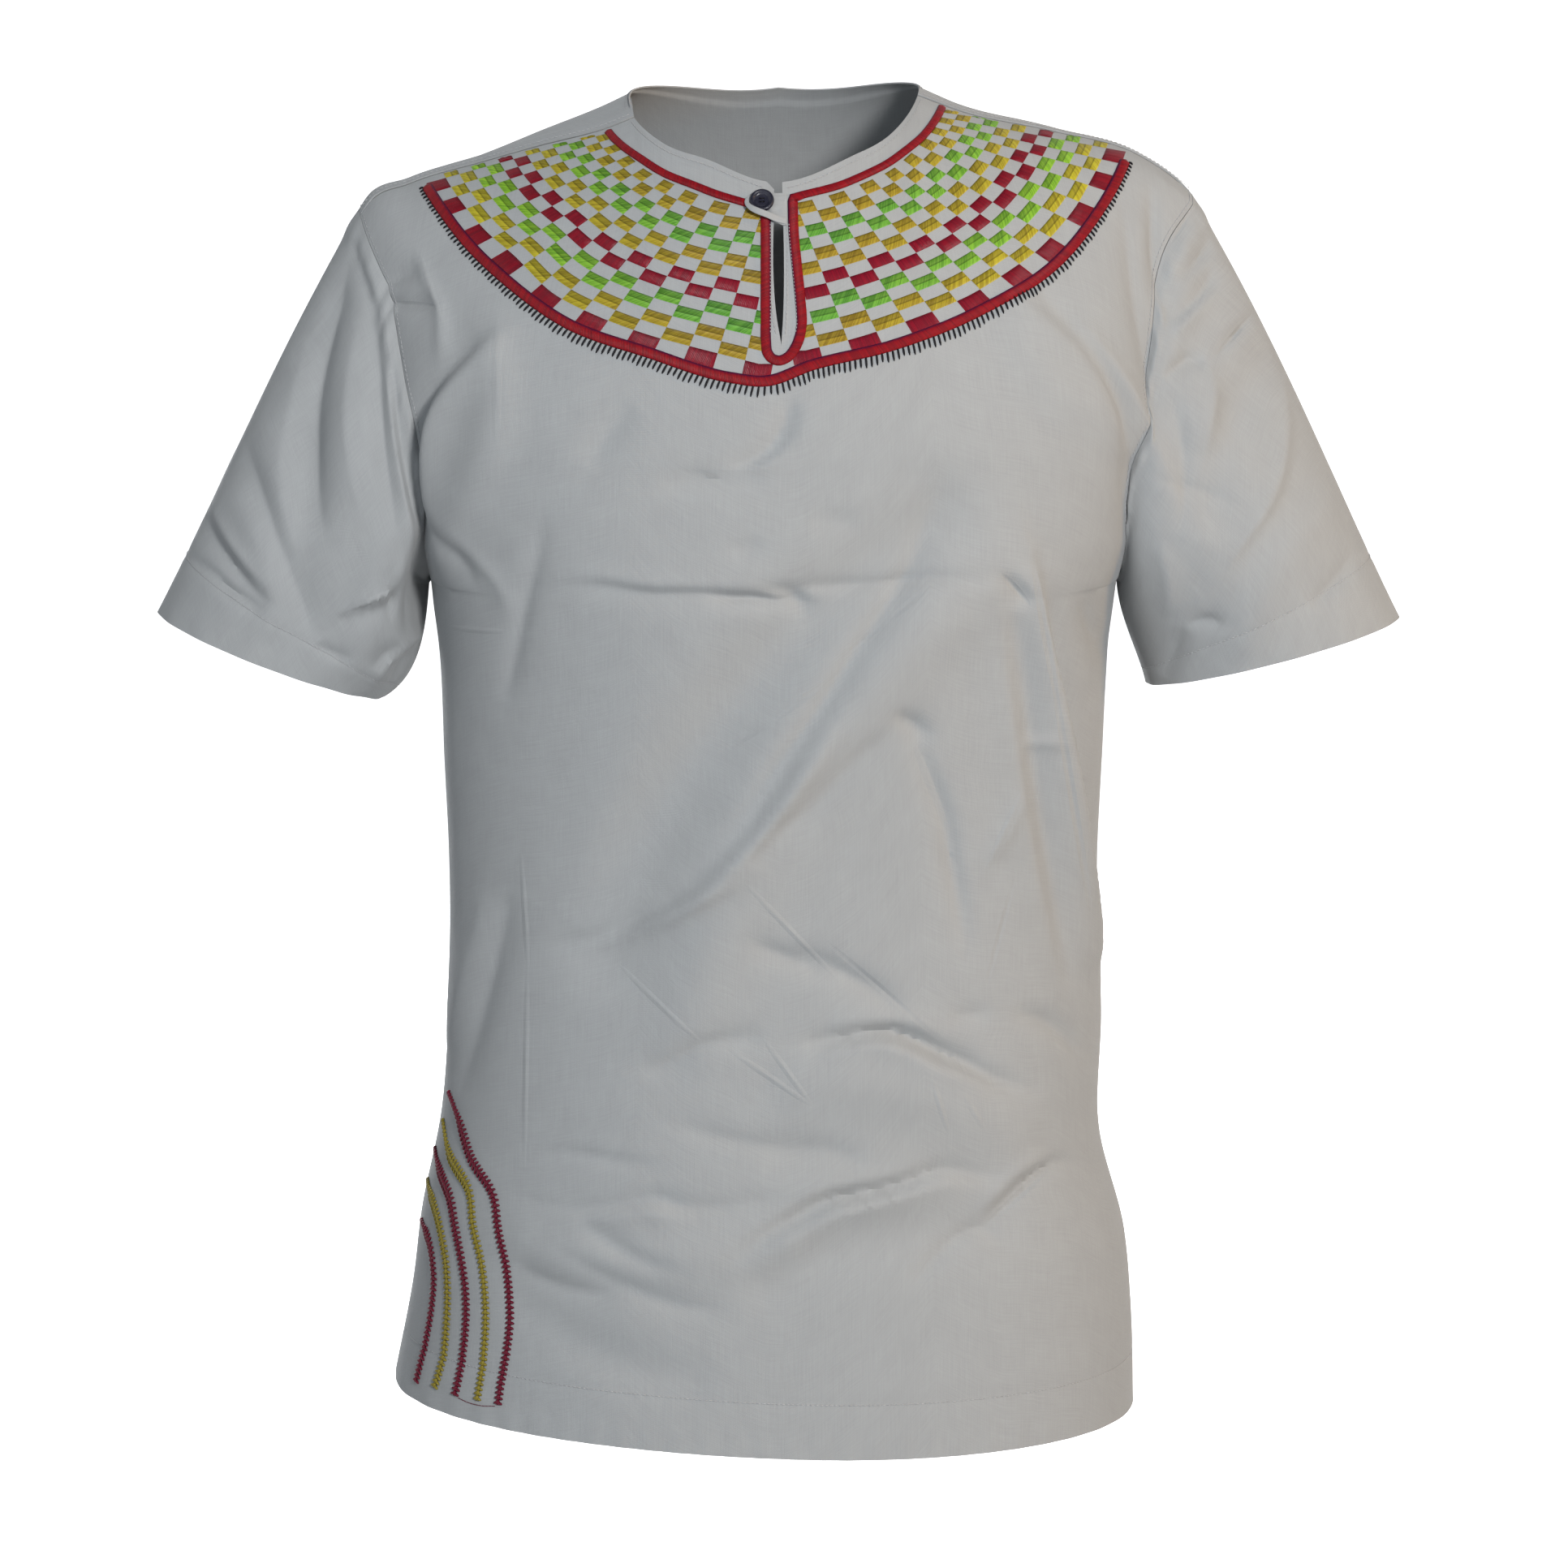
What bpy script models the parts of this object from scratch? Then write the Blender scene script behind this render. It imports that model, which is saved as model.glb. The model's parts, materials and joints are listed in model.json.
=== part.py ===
"""A short-sleeved tunic shirt with a round neck and a front slit, filled out as it is when worn.

Metres, +Z up. The front faces -Y, and +X is to the right of someone who looks at the front. The origin
is between the shoulders, level with the side of the neck. The cloth is a wall: each panel's outer face
is worked out from the tables below, and its inner face is the same face moved in.
"""
import math

import bpy
import numpy as np
from mathutils import Matrix, Vector

WALL = 0.0013            # cloth with its seam allowances
HEM_WALL = 0.0020        # where the cloth is turned up and stitched
SEAM_GAP = 0.0003        # between two pieces that are sewn together
LAID_GAP = 0.00045       # under a piece that lies on a panel

CHEST_Z = -0.200         # above this the cloth rounds over the shoulders
UNDERARM_Z = -0.270
HOLLOW_END_Z = -0.335    # the hollow beside the armhole has run out here
HEM_Z = -0.735
BODY_HEM = 0.030
SLEEVE_HEM = 0.028

FRONT_ROUND = 1.65       # how square the side view of the shoulder is: 2 is an ellipse
BACK_ROUND = 2.30
PLAN_ROUND = 2.30        # how square the body is, seen from above
ARMHOLE_TURN = 0.07      # how far short of the side the cloth stops at the armhole

# Height, and half the body's width on the left and right, down the armhole seam and the side seam.
WIDTHS = (
    (-0.735, 0.219, 0.197), (-0.680, 0.2085, 0.195), (-0.640, 0.2035, 0.191), (-0.582, 0.192, 0.1765),
    (-0.513, 0.187, 0.177), (-0.430, 0.186, 0.174), (-0.375, 0.188, 0.176), (-0.307, 0.1905, 0.179),
    (-0.270, 0.195, 0.183), (-0.240, 0.198, 0.187), (-0.200, 0.201, 0.191), (-0.147, 0.206, 0.198),
    (-0.107, 0.215, 0.202), (-0.083, 0.226, 0.209), (-0.066, 0.233, 0.222),
)
# Height, and how far the cloth stands in front of and behind the shoulder ridge at the centre.
DEPTHS = (
    (-0.735, 0.143, 0.131), (-0.640, 0.135, 0.128), (-0.560, 0.127, 0.119), (-0.480, 0.121, 0.107),
    (-0.400, 0.121, 0.103), (-0.320, 0.125, 0.108), (-0.260, 0.127, 0.114), (-0.200, 0.124, 0.112),
)
ARMHOLE_DEPTHS = (0.058, 0.062)     # how far the armhole reaches in front and behind
# Place across (-1 is the left side), and how much higher than HEM_Z the hem hangs there.
HEM_LIFT = ((-1.0, 0.014), (-0.5, 0.008), (0.0, 0.0025), (1.0, 0.001))
# Place across, and the height of the shoulder ridge.
RIDGE = (
    (-0.235, -0.072), (-0.229, -0.064), (-0.205, -0.053), (-0.166, -0.040), (-0.131, -0.026),
    (-0.098, -0.013), (-0.081, -0.005), (0.000, 0.018), (0.070, -0.002), (0.096, -0.013),
    (0.146, -0.026), (0.193, -0.040), (0.213, -0.053), (0.222, -0.061), (0.235, -0.077),
)
# Place across, and how far the shoulder seam lies in front of the ridge.
SEAM_FORWARD = (
    (-0.235, 0.008), (-0.190, 0.0095), (-0.082, 0.031), (0.072, 0.0165), (0.190, 0.0025), (0.235, 0.002),
)

# The neck hole seen from above: degrees from its front, and its radius on the left and right.
NECK_X = -0.003
NECK = (
    (0, 0.0780, 0.0780), (30, 0.0760, 0.0755), (50, 0.0810, 0.0775), (70, 0.0835, 0.0775),
    (90, 0.0790, 0.0755), (135, 0.0670, 0.0660), (180, 0.0600, 0.0600),
)
NECK_SHARE = 0.42        # share of a panel's columns that start at the neck
NECK_CORNER_DEGREES = (45.0, 100.0)     # the shoulder seam meets the neck between these

# The slit's two edges: height, and their places across.
SLIT = (
    (-0.134, -0.0014, -0.0014), (-0.120, -0.0040, -0.0005), (-0.100, -0.0058, 0.0000),
    (-0.080, -0.0062, -0.0002), (-0.062, -0.0057, -0.0008), (-0.045, -0.0058, -0.0012),
)
SLIT_TIP_Z = -0.134

# Side, cuff's outer end and inner end (x, z), half its depth, how far the cap swells out, and how
# much the cloth leans outward at the cuff's outer and inner end.
SLEEVES = (
    ("left", (-0.345, -0.290), (-0.221, -0.338), 0.054, 0.17, 0.10, 0.80),
    ("right", (0.339, -0.293), (0.200, -0.330), 0.054, 0.30, 0.20, 0.00),
)
SLEEVE_FULLNESS = 0.30   # how much a sleeve swells just below its seam
SLEEVE_LENGTH = 0.20     # from the armhole to the cuff
SLEEVE_SWEEP = 0.36      # how far its ends' directions reach, as a share of its length

# Folds seen from the front, as start (x, z), end (x, z), sideways bow, half-width and height outward.
# A negative height is a trough.
FOLDS_FRONT = (
    ((0.080, -0.225), (-0.095, -0.462), 0.026, 0.022, -0.0050),      # long slanted trough
    ((0.115, -0.255), (-0.050, -0.500), 0.030, 0.026, 0.0042),       # the ridge below it
    ((-0.154, -0.128), (-0.190, -0.250), -0.014, 0.013, 0.0040),     # left chest drape
    ((-0.166, -0.150), (-0.176, -0.262), -0.006, 0.012, -0.0035),
    ((0.122, -0.118), (0.188, -0.185), 0.010, 0.015, 0.0035),        # right chest drape
    ((0.136, -0.265), (0.165, -0.470), 0.008, 0.014, 0.0045),        # right side ridge
    ((0.110, -0.285), (0.140, -0.460), 0.006, 0.014, -0.0030),
    ((0.010, -0.535), (0.125, -0.570), -0.012, 0.016, 0.0042),       # right hip
    ((-0.010, -0.640), (0.120, -0.610), -0.010, 0.014, -0.0034),
    ((0.112, -0.640), (0.170, -0.600), -0.006, 0.012, 0.0034),
    ((-0.140, -0.615), (0.000, -0.610), 0.008, 0.014, 0.0036),       # left hip
    ((-0.145, -0.650), (-0.050, -0.690), 0.008, 0.014, -0.0032),
)
FOLDS_BACK = (
    ((-0.120, -0.170), (0.060, -0.230), 0.014, 0.020, -0.0040),      # between the shoulder blades
    ((-0.160, -0.200), (-0.110, -0.420), 0.012, 0.018, 0.0042),
    ((0.150, -0.190), (0.105, -0.400), -0.012, 0.018, 0.0042),
    ((-0.110, -0.470), (0.120, -0.430), 0.016, 0.018, -0.0045),      # small of the back
    ((-0.130, -0.520), (0.090, -0.500), 0.014, 0.016, 0.0036),
    ((-0.060, -0.640), (0.130, -0.600), 0.012, 0.018, 0.0032),
)
SLEEVE_FOLDS_FRONT = (
    ((-0.246, -0.118), (-0.262, -0.230), 0.008, 0.012, -0.0034),
    ((-0.276, -0.160), (-0.262, -0.290), -0.008, 0.012, -0.0030),
    ((-0.300, -0.225), (-0.276, -0.290), -0.010, 0.012, 0.0030),
    ((-0.205, -0.235), (-0.230, -0.315), 0.006, 0.010, 0.0030),
    ((0.214, -0.075), (0.205, -0.150), -0.006, 0.010, 0.0028),
    ((0.270, -0.140), (0.228, -0.230), 0.008, 0.013, -0.0030),
    ((0.300, -0.225), (0.250, -0.300), 0.008, 0.013, 0.0028),
)
SLEEVE_FOLDS_BACK = (
    ((-0.250, -0.120), (-0.262, -0.250), -0.008, 0.013, -0.0030),
    ((-0.300, -0.210), (-0.262, -0.300), 0.008, 0.013, 0.0028),
    ((0.246, -0.120), (0.252, -0.250), 0.008, 0.013, -0.0030),
    ((0.300, -0.220), (0.256, -0.300), -0.008, 0.013, 0.0028),
)

SIDE_FADE = 0.030        # body folds die out this close to the side seam,
HEM_FADE = 0.030         # and are weaker this close to the hem
SLEEVE_SIDE_FADE = 0.020
ARMHOLE_FADE = 0.15      # share of a sleeve over which its folds grow from the seam

COLUMNS = 30             # across each panel, so that the seams' corners meet
ROWS_SHOULDER = 12       # down to the chest
SLIT_ROW = 7             # the slit ends at this row
ROWS_ARMHOLE = 6         # from the chest to the underarm
ROWS_BODY_FRONT = 17     # from the underarm to the hem
ROWS_BODY_BACK = 14
ROWS_SLEEVE = 10

SOLVE_STEPS = 12         # rounds of a search for a place on the cloth
NORMAL_STEP = 0.004      # how far apart the places are that give the cloth's direction
EDGE_TURN = 0.5          # a sleeve that leaves its seam this steeply keeps its own edge direction

CORD_HEIGHT = 0.0012
NECK_CORD_WIDTH = 0.0044
SLIT_CORD_WIDTH = 0.0055
YOKE_CORD_WIDTH = 0.0060
# Degrees round the neck, and how far outside its edge the red cord runs on the left and right.
NECK_CORD = (
    (0, 0.0080, 0.0048), (12, 0.0084, 0.0057), (25, 0.0098, 0.0075), (40, 0.0100, 0.0084),
    (50, 0.0100, 0.0090), (62, 0.0118, 0.0112), (72, 0.0138, 0.0125), (85, 0.0155, 0.0140),
)
# The slit cord's route, from the button loop down, round the slit's end and up to the neck cord (x, z).
SLIT_CORD = (
    (-0.0097, -0.0716), (-0.0096, -0.0906), (-0.0096, -0.1072), (-0.0096, -0.1239), (-0.0095, -0.1323),
    (-0.0086, -0.1385), (-0.0062, -0.1414), (-0.0026, -0.1424), (0.0017, -0.1408), (0.0060, -0.1356),
    (0.0083, -0.1300), (0.0093, -0.1239), (0.0086, -0.1114), (0.0069, -0.0947), (0.0052, -0.0781),
    (0.0046, -0.0592),
)
# The outer border's route, from the left shoulder seam to the right one (x, z).
YOKE_CORD = (
    (-0.1938, -0.0556), (-0.1846, -0.0673), (-0.1685, -0.0855), (-0.1481, -0.1029), (-0.1147, -0.1245),
    (-0.0712, -0.1388), (-0.0282, -0.1512), (-0.0100, -0.1530), (0.0145, -0.1448), (0.0574, -0.1348),
    (0.1008, -0.1191), (0.1452, -0.0941), (0.1679, -0.0694), (0.1772, -0.0560), (0.1850, -0.0420),
)
CORD_STEP = 0.0065

BUTTON_AT = (-0.0116, -0.0614)
BUTTON_STAND = 0.0019    # the thread shank holds it this far off the panel
LOOP_STAND = 0.0006
# Half the button's outline, from the middle of its face to the middle of its back (radius, height).
BUTTON = (
    (0.0000, 0.0015), (0.0038, 0.0016), (0.0046, 0.0024), (0.0056, 0.0026), (0.0064, 0.0019),
    (0.0065, 0.0010), (0.0058, 0.0001), (0.0000, 0.0000),
)
BUTTON_SIDES = 24
LOOP_THICKNESS = 0.0009
LOOP_OUTLINE = (         # (x, z), seen from the front
    (0.0005, -0.0568), (0.0005, -0.0728), (-0.0060, -0.0716), (-0.0140, -0.0697), (-0.0190, -0.0684),
    (-0.0205, -0.0668), (-0.0198, -0.0648), (-0.0165, -0.0608), (-0.0110, -0.0572), (-0.0050, -0.0566),
)
LOOP_HOLE = (
    (-0.0022, -0.0652), (-0.0022, -0.0660), (-0.0090, -0.0662), (-0.0140, -0.0654), (-0.0152, -0.0640),
    (-0.0140, -0.0622), (-0.0110, -0.0616), (-0.0080, -0.0630),
)


def read(table, column, at):
    """The value of one column of a table at the places `at`, on a smooth curve through its rows."""
    rows = np.array(sorted(table), dtype=float)
    knots, values = rows[:, 0], rows[:, column]
    slopes = np.gradient(values, knots)
    at = np.clip(np.asarray(at, dtype=float), knots[0], knots[-1])
    i = np.clip(np.searchsorted(knots, at) - 1, 0, len(knots) - 2)
    width = knots[i + 1] - knots[i]
    t = (at - knots[i]) / width
    return (values[i] * (1 + 2 * t) * (1 - t) ** 2 + values[i + 1] * t ** 2 * (3 - 2 * t)
            + width * t * (1 - t) * (slopes[i] * (1 - t) - slopes[i + 1] * t))


def unit(vectors):
    """The vectors, each made one long."""
    return vectors / np.maximum(np.linalg.norm(vectors, axis=-1, keepdims=True), 1e-12)


def half_width(s, z):
    """The body's half-width at height z, on the side that s lies on."""
    return np.where(s < 0, read(WIDTHS, 1, z), read(WIDTHS, 2, z))


def shoulder_end_z(s):
    """The height of the ridge where it meets the armhole, on the side that s lies on."""
    top = half_width(s, WIDTHS[-1][0])
    return read(RIDGE, 1, np.sign(s) * top)


def plan_bow(s):
    """The body's outline seen from above, as a share of its depth."""
    return np.maximum(1 - s ** PLAN_ROUND, 0) ** (1 / PLAN_ROUND)


def body_shape(s, h):
    """A point of the smooth body.

    s runs across from the left side (-1) to the right (1). h is 0 on the shoulder ridge, -1 and 1 at
    the chest in front and behind, and -2 and 2 at the hem.
    """
    s, h = np.broadcast_arrays(np.asarray(s, dtype=float), np.asarray(h, dtype=float))
    turn = np.minimum(np.abs(h), 1) * math.pi / 2
    power = 2 / np.where(h < 0, FRONT_ROUND, BACK_ROUND)
    up = np.maximum(np.cos(turn), 0) ** power
    out = np.sin(turn) ** power
    below = CHEST_Z + (np.abs(h) - 1) * (HEM_Z - CHEST_Z)
    in_shoulder = np.abs(h) < 1
    width_z = np.where(in_shoulder, CHEST_Z + (shoulder_end_z(s) - CHEST_Z) * up, below)
    x = s * half_width(s, width_z)
    ridge_z = read(RIDGE, 1, s * half_width(s, WIDTHS[-1][0]))
    lift = read(HEM_LIFT, 1, s) * np.clip((UNDERARM_Z - below) / (UNDERARM_Z - HEM_Z), 0, 1)
    z = np.where(in_shoulder, CHEST_Z + (ridge_z - CHEST_Z) * up, below + lift)

    level = np.minimum(width_z, CHEST_Z)
    full = np.where(h < 0, read(DEPTHS, 1, level), read(DEPTHS, 2, level))
    closed = full * plan_bow(np.abs(s))
    edge = np.where(h < 0, ARMHOLE_DEPTHS[0], ARMHOLE_DEPTHS[1])
    cut = 1 - ARMHOLE_TURN
    opened = edge + (full - edge) * (plan_bow(cut * np.abs(s)) - plan_bow(cut)) / (1 - plan_bow(cut))
    fall = np.clip((level - HOLLOW_END_Z) / (CHEST_Z - HOLLOW_END_Z), 0, 1)
    drop = np.clip((CHEST_Z - level) / (CHEST_Z - UNDERARM_Z), 0, 1)
    at_edge = np.abs(s) ** 12
    share = fall ** 2 * (3 - 2 * fall) * (1 - at_edge) + np.sqrt(1 - drop ** 2) * at_edge
    y = np.where(h < 0, -1, 1) * (closed + (opened - closed) * share) * out
    return np.stack([x, y, z], axis=-1)


def body_normal(s, h):
    """The outward direction of the smooth body."""
    s, h = np.broadcast_arrays(np.asarray(s, dtype=float), np.asarray(h, dtype=float))
    right, left = np.minimum(s + NORMAL_STEP, 1), np.maximum(s - NORMAL_STEP, -1)
    across = body_shape(right, h) - body_shape(left, h)
    down = body_shape(s, h + NORMAL_STEP) - body_shape(s, h - NORMAL_STEP)
    normal = unit(np.cross(across, down))
    at_side = (np.abs(s) > 0.9999) & (body_shape(s, h)[..., 2] <= UNDERARM_Z + 1e-6)
    normal[..., 1] = np.where(at_side, 0, normal[..., 1])
    return unit(normal)


def fold_height(points, folds):
    """How far the folds move the cloth out at these points, by their place seen from the front."""
    x, z = points[..., 0], points[..., 2]
    height = np.zeros(x.shape)
    for (x0, z0), (x1, z1), bow, half, tall in folds:
        length = math.hypot(x1 - x0, z1 - z0)
        ax, az = (x1 - x0) / length, (z1 - z0) / length
        along = ((x - x0) * ax + (z - z0) * az) / length
        aside = (x - x0) * az - (z - z0) * ax
        inside = np.clip(along, 0, 1)
        off = aside - bow * 4 * inside * (1 - inside)
        past = (along - inside) * length
        height += tall * np.exp(-(off / half) ** 2 - (past / half) ** 2) * np.sin(
            math.pi * np.clip(0.12 + 0.76 * along, 0, 1)) ** 0.5
    return height


def body(s, h):
    """A point of the body's outer cloth with its folds, and its outward direction."""
    point, normal = body_shape(s, h), body_normal(s, h)
    near_hem = np.clip((point[..., 2] - HEM_Z) / HEM_FADE + 0.35, 0, 1)
    fade = np.clip(np.abs(point[..., 1]) / SIDE_FADE, 0, 1) * near_hem
    height = np.where(point[..., 1] < 0, fold_height(point, FOLDS_FRONT), fold_height(point, FOLDS_BACK))
    return point + normal * (height * fade)[..., None], normal


def under_plan(x, y):
    """The (s, h) of the shoulder cloth that lies under the plan point (x, y)."""
    x, y = np.broadcast_arrays(np.asarray(x, dtype=float), np.asarray(y, dtype=float))
    h = 0.3 * np.where(y < 0, -1.0, 1.0)
    power = np.where(y < 0, FRONT_ROUND, BACK_ROUND) / 2
    for _ in range(SOLVE_STEPS):
        up = np.cos(np.abs(h) * math.pi / 2) ** (1 / power)
        s = x / half_width(x, CHEST_Z + (shoulder_end_z(x) - CHEST_Z) * up)
        reach = np.abs(body_shape(s, np.where(y < 0, -1.0, 1.0))[..., 1])
        h = np.where(y < 0, -1, 1) * np.arcsin(np.clip(np.abs(y) / reach, 0, 1) ** power) * 2 / math.pi
    return s, h


def on_front(x, z):
    """The (s, h) of the front cloth that is seen at (x, z), above the chest."""
    x, z = np.broadcast_arrays(np.asarray(x, dtype=float), np.asarray(z, dtype=float))
    s = x / 0.2
    for _ in range(SOLVE_STEPS):
        ridge_z = read(RIDGE, 1, s * half_width(s, WIDTHS[-1][0]))
        up = np.clip((z - CHEST_Z) / (ridge_z - CHEST_Z), 0, 1)
        s = x / half_width(x, CHEST_Z + (shoulder_end_z(x) - CHEST_Z) * up)
    return s, -np.arccos(up ** (FRONT_ROUND / 2)) * 2 / math.pi


def neck_plan(degrees, side, on_cord=False):
    """A plan point of the neck edge, so many degrees from its front, or one of the cord beside it."""
    column = 1 if side < 0 else 2
    radius = read(NECK, column, degrees) + (read(NECK_CORD, column, degrees) if on_cord else 0)
    angle = np.radians(degrees)
    return NECK_X + side * radius * np.sin(angle), -radius * np.cos(angle)


def seam_degrees(side, on_cord=False):
    """Where round the neck the shoulder seam crosses the neck edge or its cord."""
    low, high = NECK_CORNER_DEGREES
    for _ in range(40):
        middle = (low + high) / 2
        x, y = neck_plan(middle, side, on_cord)
        low, high = (middle, high) if y < -read(SEAM_FORWARD, 1, x) else (low, middle)
    return low


def seam_end(side):
    """The place across where the shoulder seam meets the armhole."""
    x = side * WIDTHS[-1][1 if side < 0 else 2]
    for _ in range(SOLVE_STEPS):
        h = under_plan(x, -read(SEAM_FORWARD, 1, x))[1]
        x = float(body_shape(side, h)[0])
    return x


def column_top(f, facing):
    """The (s, h) at which column f of the front (-1) or back (1) panel starts."""
    side = -1 if f < 0 else 1
    corner = seam_degrees(side)
    if abs(f) <= NECK_SHARE + 1e-6:
        share = abs(f) / NECK_SHARE
        degrees = corner * share if facing < 0 else 180 - (180 - corner) * share
        x, y = neck_plan(degrees, side)
    else:
        share = (abs(f) - NECK_SHARE) / (1 - NECK_SHARE)
        x = neck_plan(corner, side)[0]
        x += (seam_end(side) - x) * share
        y = -read(SEAM_FORWARD, 1, x)
    if abs(f) > NECK_SHARE - 1e-6:
        y += facing * SEAM_GAP / 2
    s, h = under_plan(x, y)
    return (float(f), float(h)) if abs(f) > 0.9999 else (float(s), float(h))


def spread(count):
    """Places across a panel, closer together towards its sides, with the neck's corner among them."""
    places = np.sin(np.linspace(-1, 1, count + 1) * math.pi / 2)
    corner = np.argmin(np.abs(places - NECK_SHARE))
    scale = NECK_SHARE / places[corner]
    inner = np.abs(places) <= places[corner] + 1e-9
    outer = NECK_SHARE + (np.abs(places) - places[corner]) * (1 - NECK_SHARE) / (1 - places[corner])
    return np.where(inner, places * scale, np.sign(places) * outer)


def panel_rows(facing, body_rows):
    """How far down each row is: 0 to 1 from the top edge to the chest, then 1 to 2 to the hem."""
    first = np.linspace(0, 1, ROWS_SHOULDER + 1)
    if facing < 0:
        centre_top = column_top(0.0, -1)[1]
        tip = (float(on_front(NECK_X, SLIT_TIP_Z)[1]) - centre_top) / (-1 - centre_top)
        first = np.concatenate([np.linspace(0, tip, SLIT_ROW + 1),
                                np.linspace(tip, 1, ROWS_SHOULDER - SLIT_ROW + 1)[1:]])
    drop = (CHEST_Z - UNDERARM_Z) / (CHEST_Z - HEM_Z)
    armhole = 1 + drop * np.sin(np.linspace(0, math.pi / 2, ROWS_ARMHOLE + 1))[1:]
    hem_start = 2 - BODY_HEM / (CHEST_Z - HEM_Z)
    lower = np.concatenate([np.linspace(1 + drop, hem_start, body_rows - 1)[1:], [(hem_start + 2) / 2, 2.0]])
    return np.concatenate([first, armhole, lower])


def panel_grid(facing, body_rows):
    """The (s, h) of each row and column of the front (-1) or back (1) panel."""
    places, rows = spread(COLUMNS), panel_rows(facing, body_rows)
    s, h = np.zeros((len(rows), len(places))), np.zeros((len(rows), len(places)))
    for j, f in enumerate(places):
        top_s, top_h = column_top(f, facing)
        down = np.minimum(rows, 1)
        s[:, j] = top_s + (f - top_s) * down
        h[:, j] = np.where(rows <= 1, top_h + (facing - top_h) * down, facing * rows)
    return s, h


def thickness(points):
    """The body's wall at these points: cloth, or its turned-up hem."""
    return np.where(points[..., 2] < HEM_Z + BODY_HEM - 1e-4, HEM_WALL, WALL)


def material(name, colour, roughness, metallic=0.0):
    made = bpy.data.materials.new(name)
    made.use_nodes = True
    shader = made.node_tree.nodes["Principled BSDF"]
    shader.inputs["Base Color"].default_value = (*colour, 1)
    shader.inputs["Roughness"].default_value = roughness
    shader.inputs["Metallic"].default_value = metallic
    made.diffuse_color = (*colour, 1)
    return made


def add_mesh(name, points, faces, finish):
    """One closed object in the shirt's collection."""
    mesh = bpy.data.meshes.new(name)
    mesh.from_pydata([tuple(map(float, p)) for p in points], [], faces)
    mesh.materials.append(finish)
    made = bpy.data.objects.new(name, mesh)
    bpy.data.collections["dashiki_shirt"].objects.link(made)
    return made


def add_wall(name, outer, inward, quads, finish):
    """A closed wall: the outer face, the same face moved by `inward`, and a rim along every edge."""
    count = len(outer)
    faces, edges = [], {}
    for a, b, c, d in quads:
        for tri in ((a, b, c), (a, c, d)):
            faces += [tri, tuple(i + count for i in reversed(tri))]
            for start, end in zip(tri, tri[1:] + tri[:1]):
                if (end, start) in edges:
                    del edges[(end, start)]
                else:
                    edges[(start, end)] = True
    for start, end in edges:
        faces += [(end, start, start + count), (end, start + count, end + count)]
    return add_mesh(name, np.concatenate([outer, outer + inward]), faces, finish)


def sleeve_grid(loop, outward, cuff, side):
    """Rings of points from the armhole loop to the cuff, starting at the shoulder seam."""
    _, tip, end, half_depth, cap, lean_out, lean_in = cuff
    tip, end = np.array([tip[0], 0, tip[1]]), np.array([end[0], 0, end[1]])
    centre, half = (tip + end) / 2, (tip - end) / 2
    axis = unit(np.array([-half[2], 0, half[0]]) * -side)
    count = len(loop)
    lengths = np.linalg.norm(np.roll(loop, -1, axis=0) - loop, axis=1)
    walked = np.concatenate([[0], np.cumsum(lengths)[:-1]])
    underarm = count_to_underarm()
    front = walked / walked[underarm] * math.pi
    behind = math.pi + (walked - walked[underarm]) / (lengths.sum() - walked[underarm]) * math.pi
    angle = np.where(np.arange(count) <= underarm, front, behind)[:, None]
    mouth = centre + half * np.cos(angle) + np.array([0, -half_depth, 0]) * np.sin(angle)
    radial = loop - loop.mean(axis=0)
    radial = unit(radial - (radial @ axis)[:, None] * axis)
    upper, lower = np.clip(np.cos(angle), 0, 1), np.clip(-np.cos(angle), 0, 1)
    leave = unit(axis + (SLEEVE_FULLNESS + (cap - SLEEVE_FULLNESS) * upper) * radial)
    arrive = unit(axis + (lean_out * upper + lean_in * lower) * unit(half))
    start = loop + SEAM_GAP * unit(outward + leave)
    reach = np.linalg.norm(mouth - start, axis=1)[:, None] * SLEEVE_SWEEP
    hem = SLEEVE_HEM / SLEEVE_LENGTH
    steps = np.concatenate([np.linspace(0, 1 - hem, ROWS_SLEEVE - 1), [1 - hem / 2, 1]])
    rings = [start * (1 - t) ** 3 + (start + leave * reach) * 3 * t * (1 - t) ** 2
             + (mouth - arrive * reach) * 3 * t ** 2 * (1 - t) + mouth * t ** 3 for t in steps]
    rings = np.array(rings)
    normals = tube_normals(rings)
    near_side = np.clip(np.abs(rings[..., 1]) / SLEEVE_SIDE_FADE, 0, 1)
    fade = np.clip(steps / ARMHOLE_FADE, 0, 1)[:, None] * near_side
    height = np.where(rings[..., 1] < 0, fold_height(rings, SLEEVE_FOLDS_FRONT),
                      fold_height(rings, SLEEVE_FOLDS_BACK))
    wall = np.where(steps > 1 - hem - 1e-6, HEM_WALL, WALL)
    return rings + normals * (height * fade)[..., None], normals, wall


def tube_normals(rings):
    """The outward direction at each point of a tube given as rings."""
    around = np.roll(rings, -1, axis=1) - np.roll(rings, 1, axis=1)
    along = np.gradient(rings, axis=0)
    normals = unit(np.cross(around, along))
    away = rings - rings.mean(axis=1, keepdims=True)
    return normals * np.sign((normals * away).sum())


def count_to_underarm():
    """The place of the underarm in an armhole loop that starts at the shoulder seam."""
    return ROWS_SHOULDER + ROWS_ARMHOLE


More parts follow.
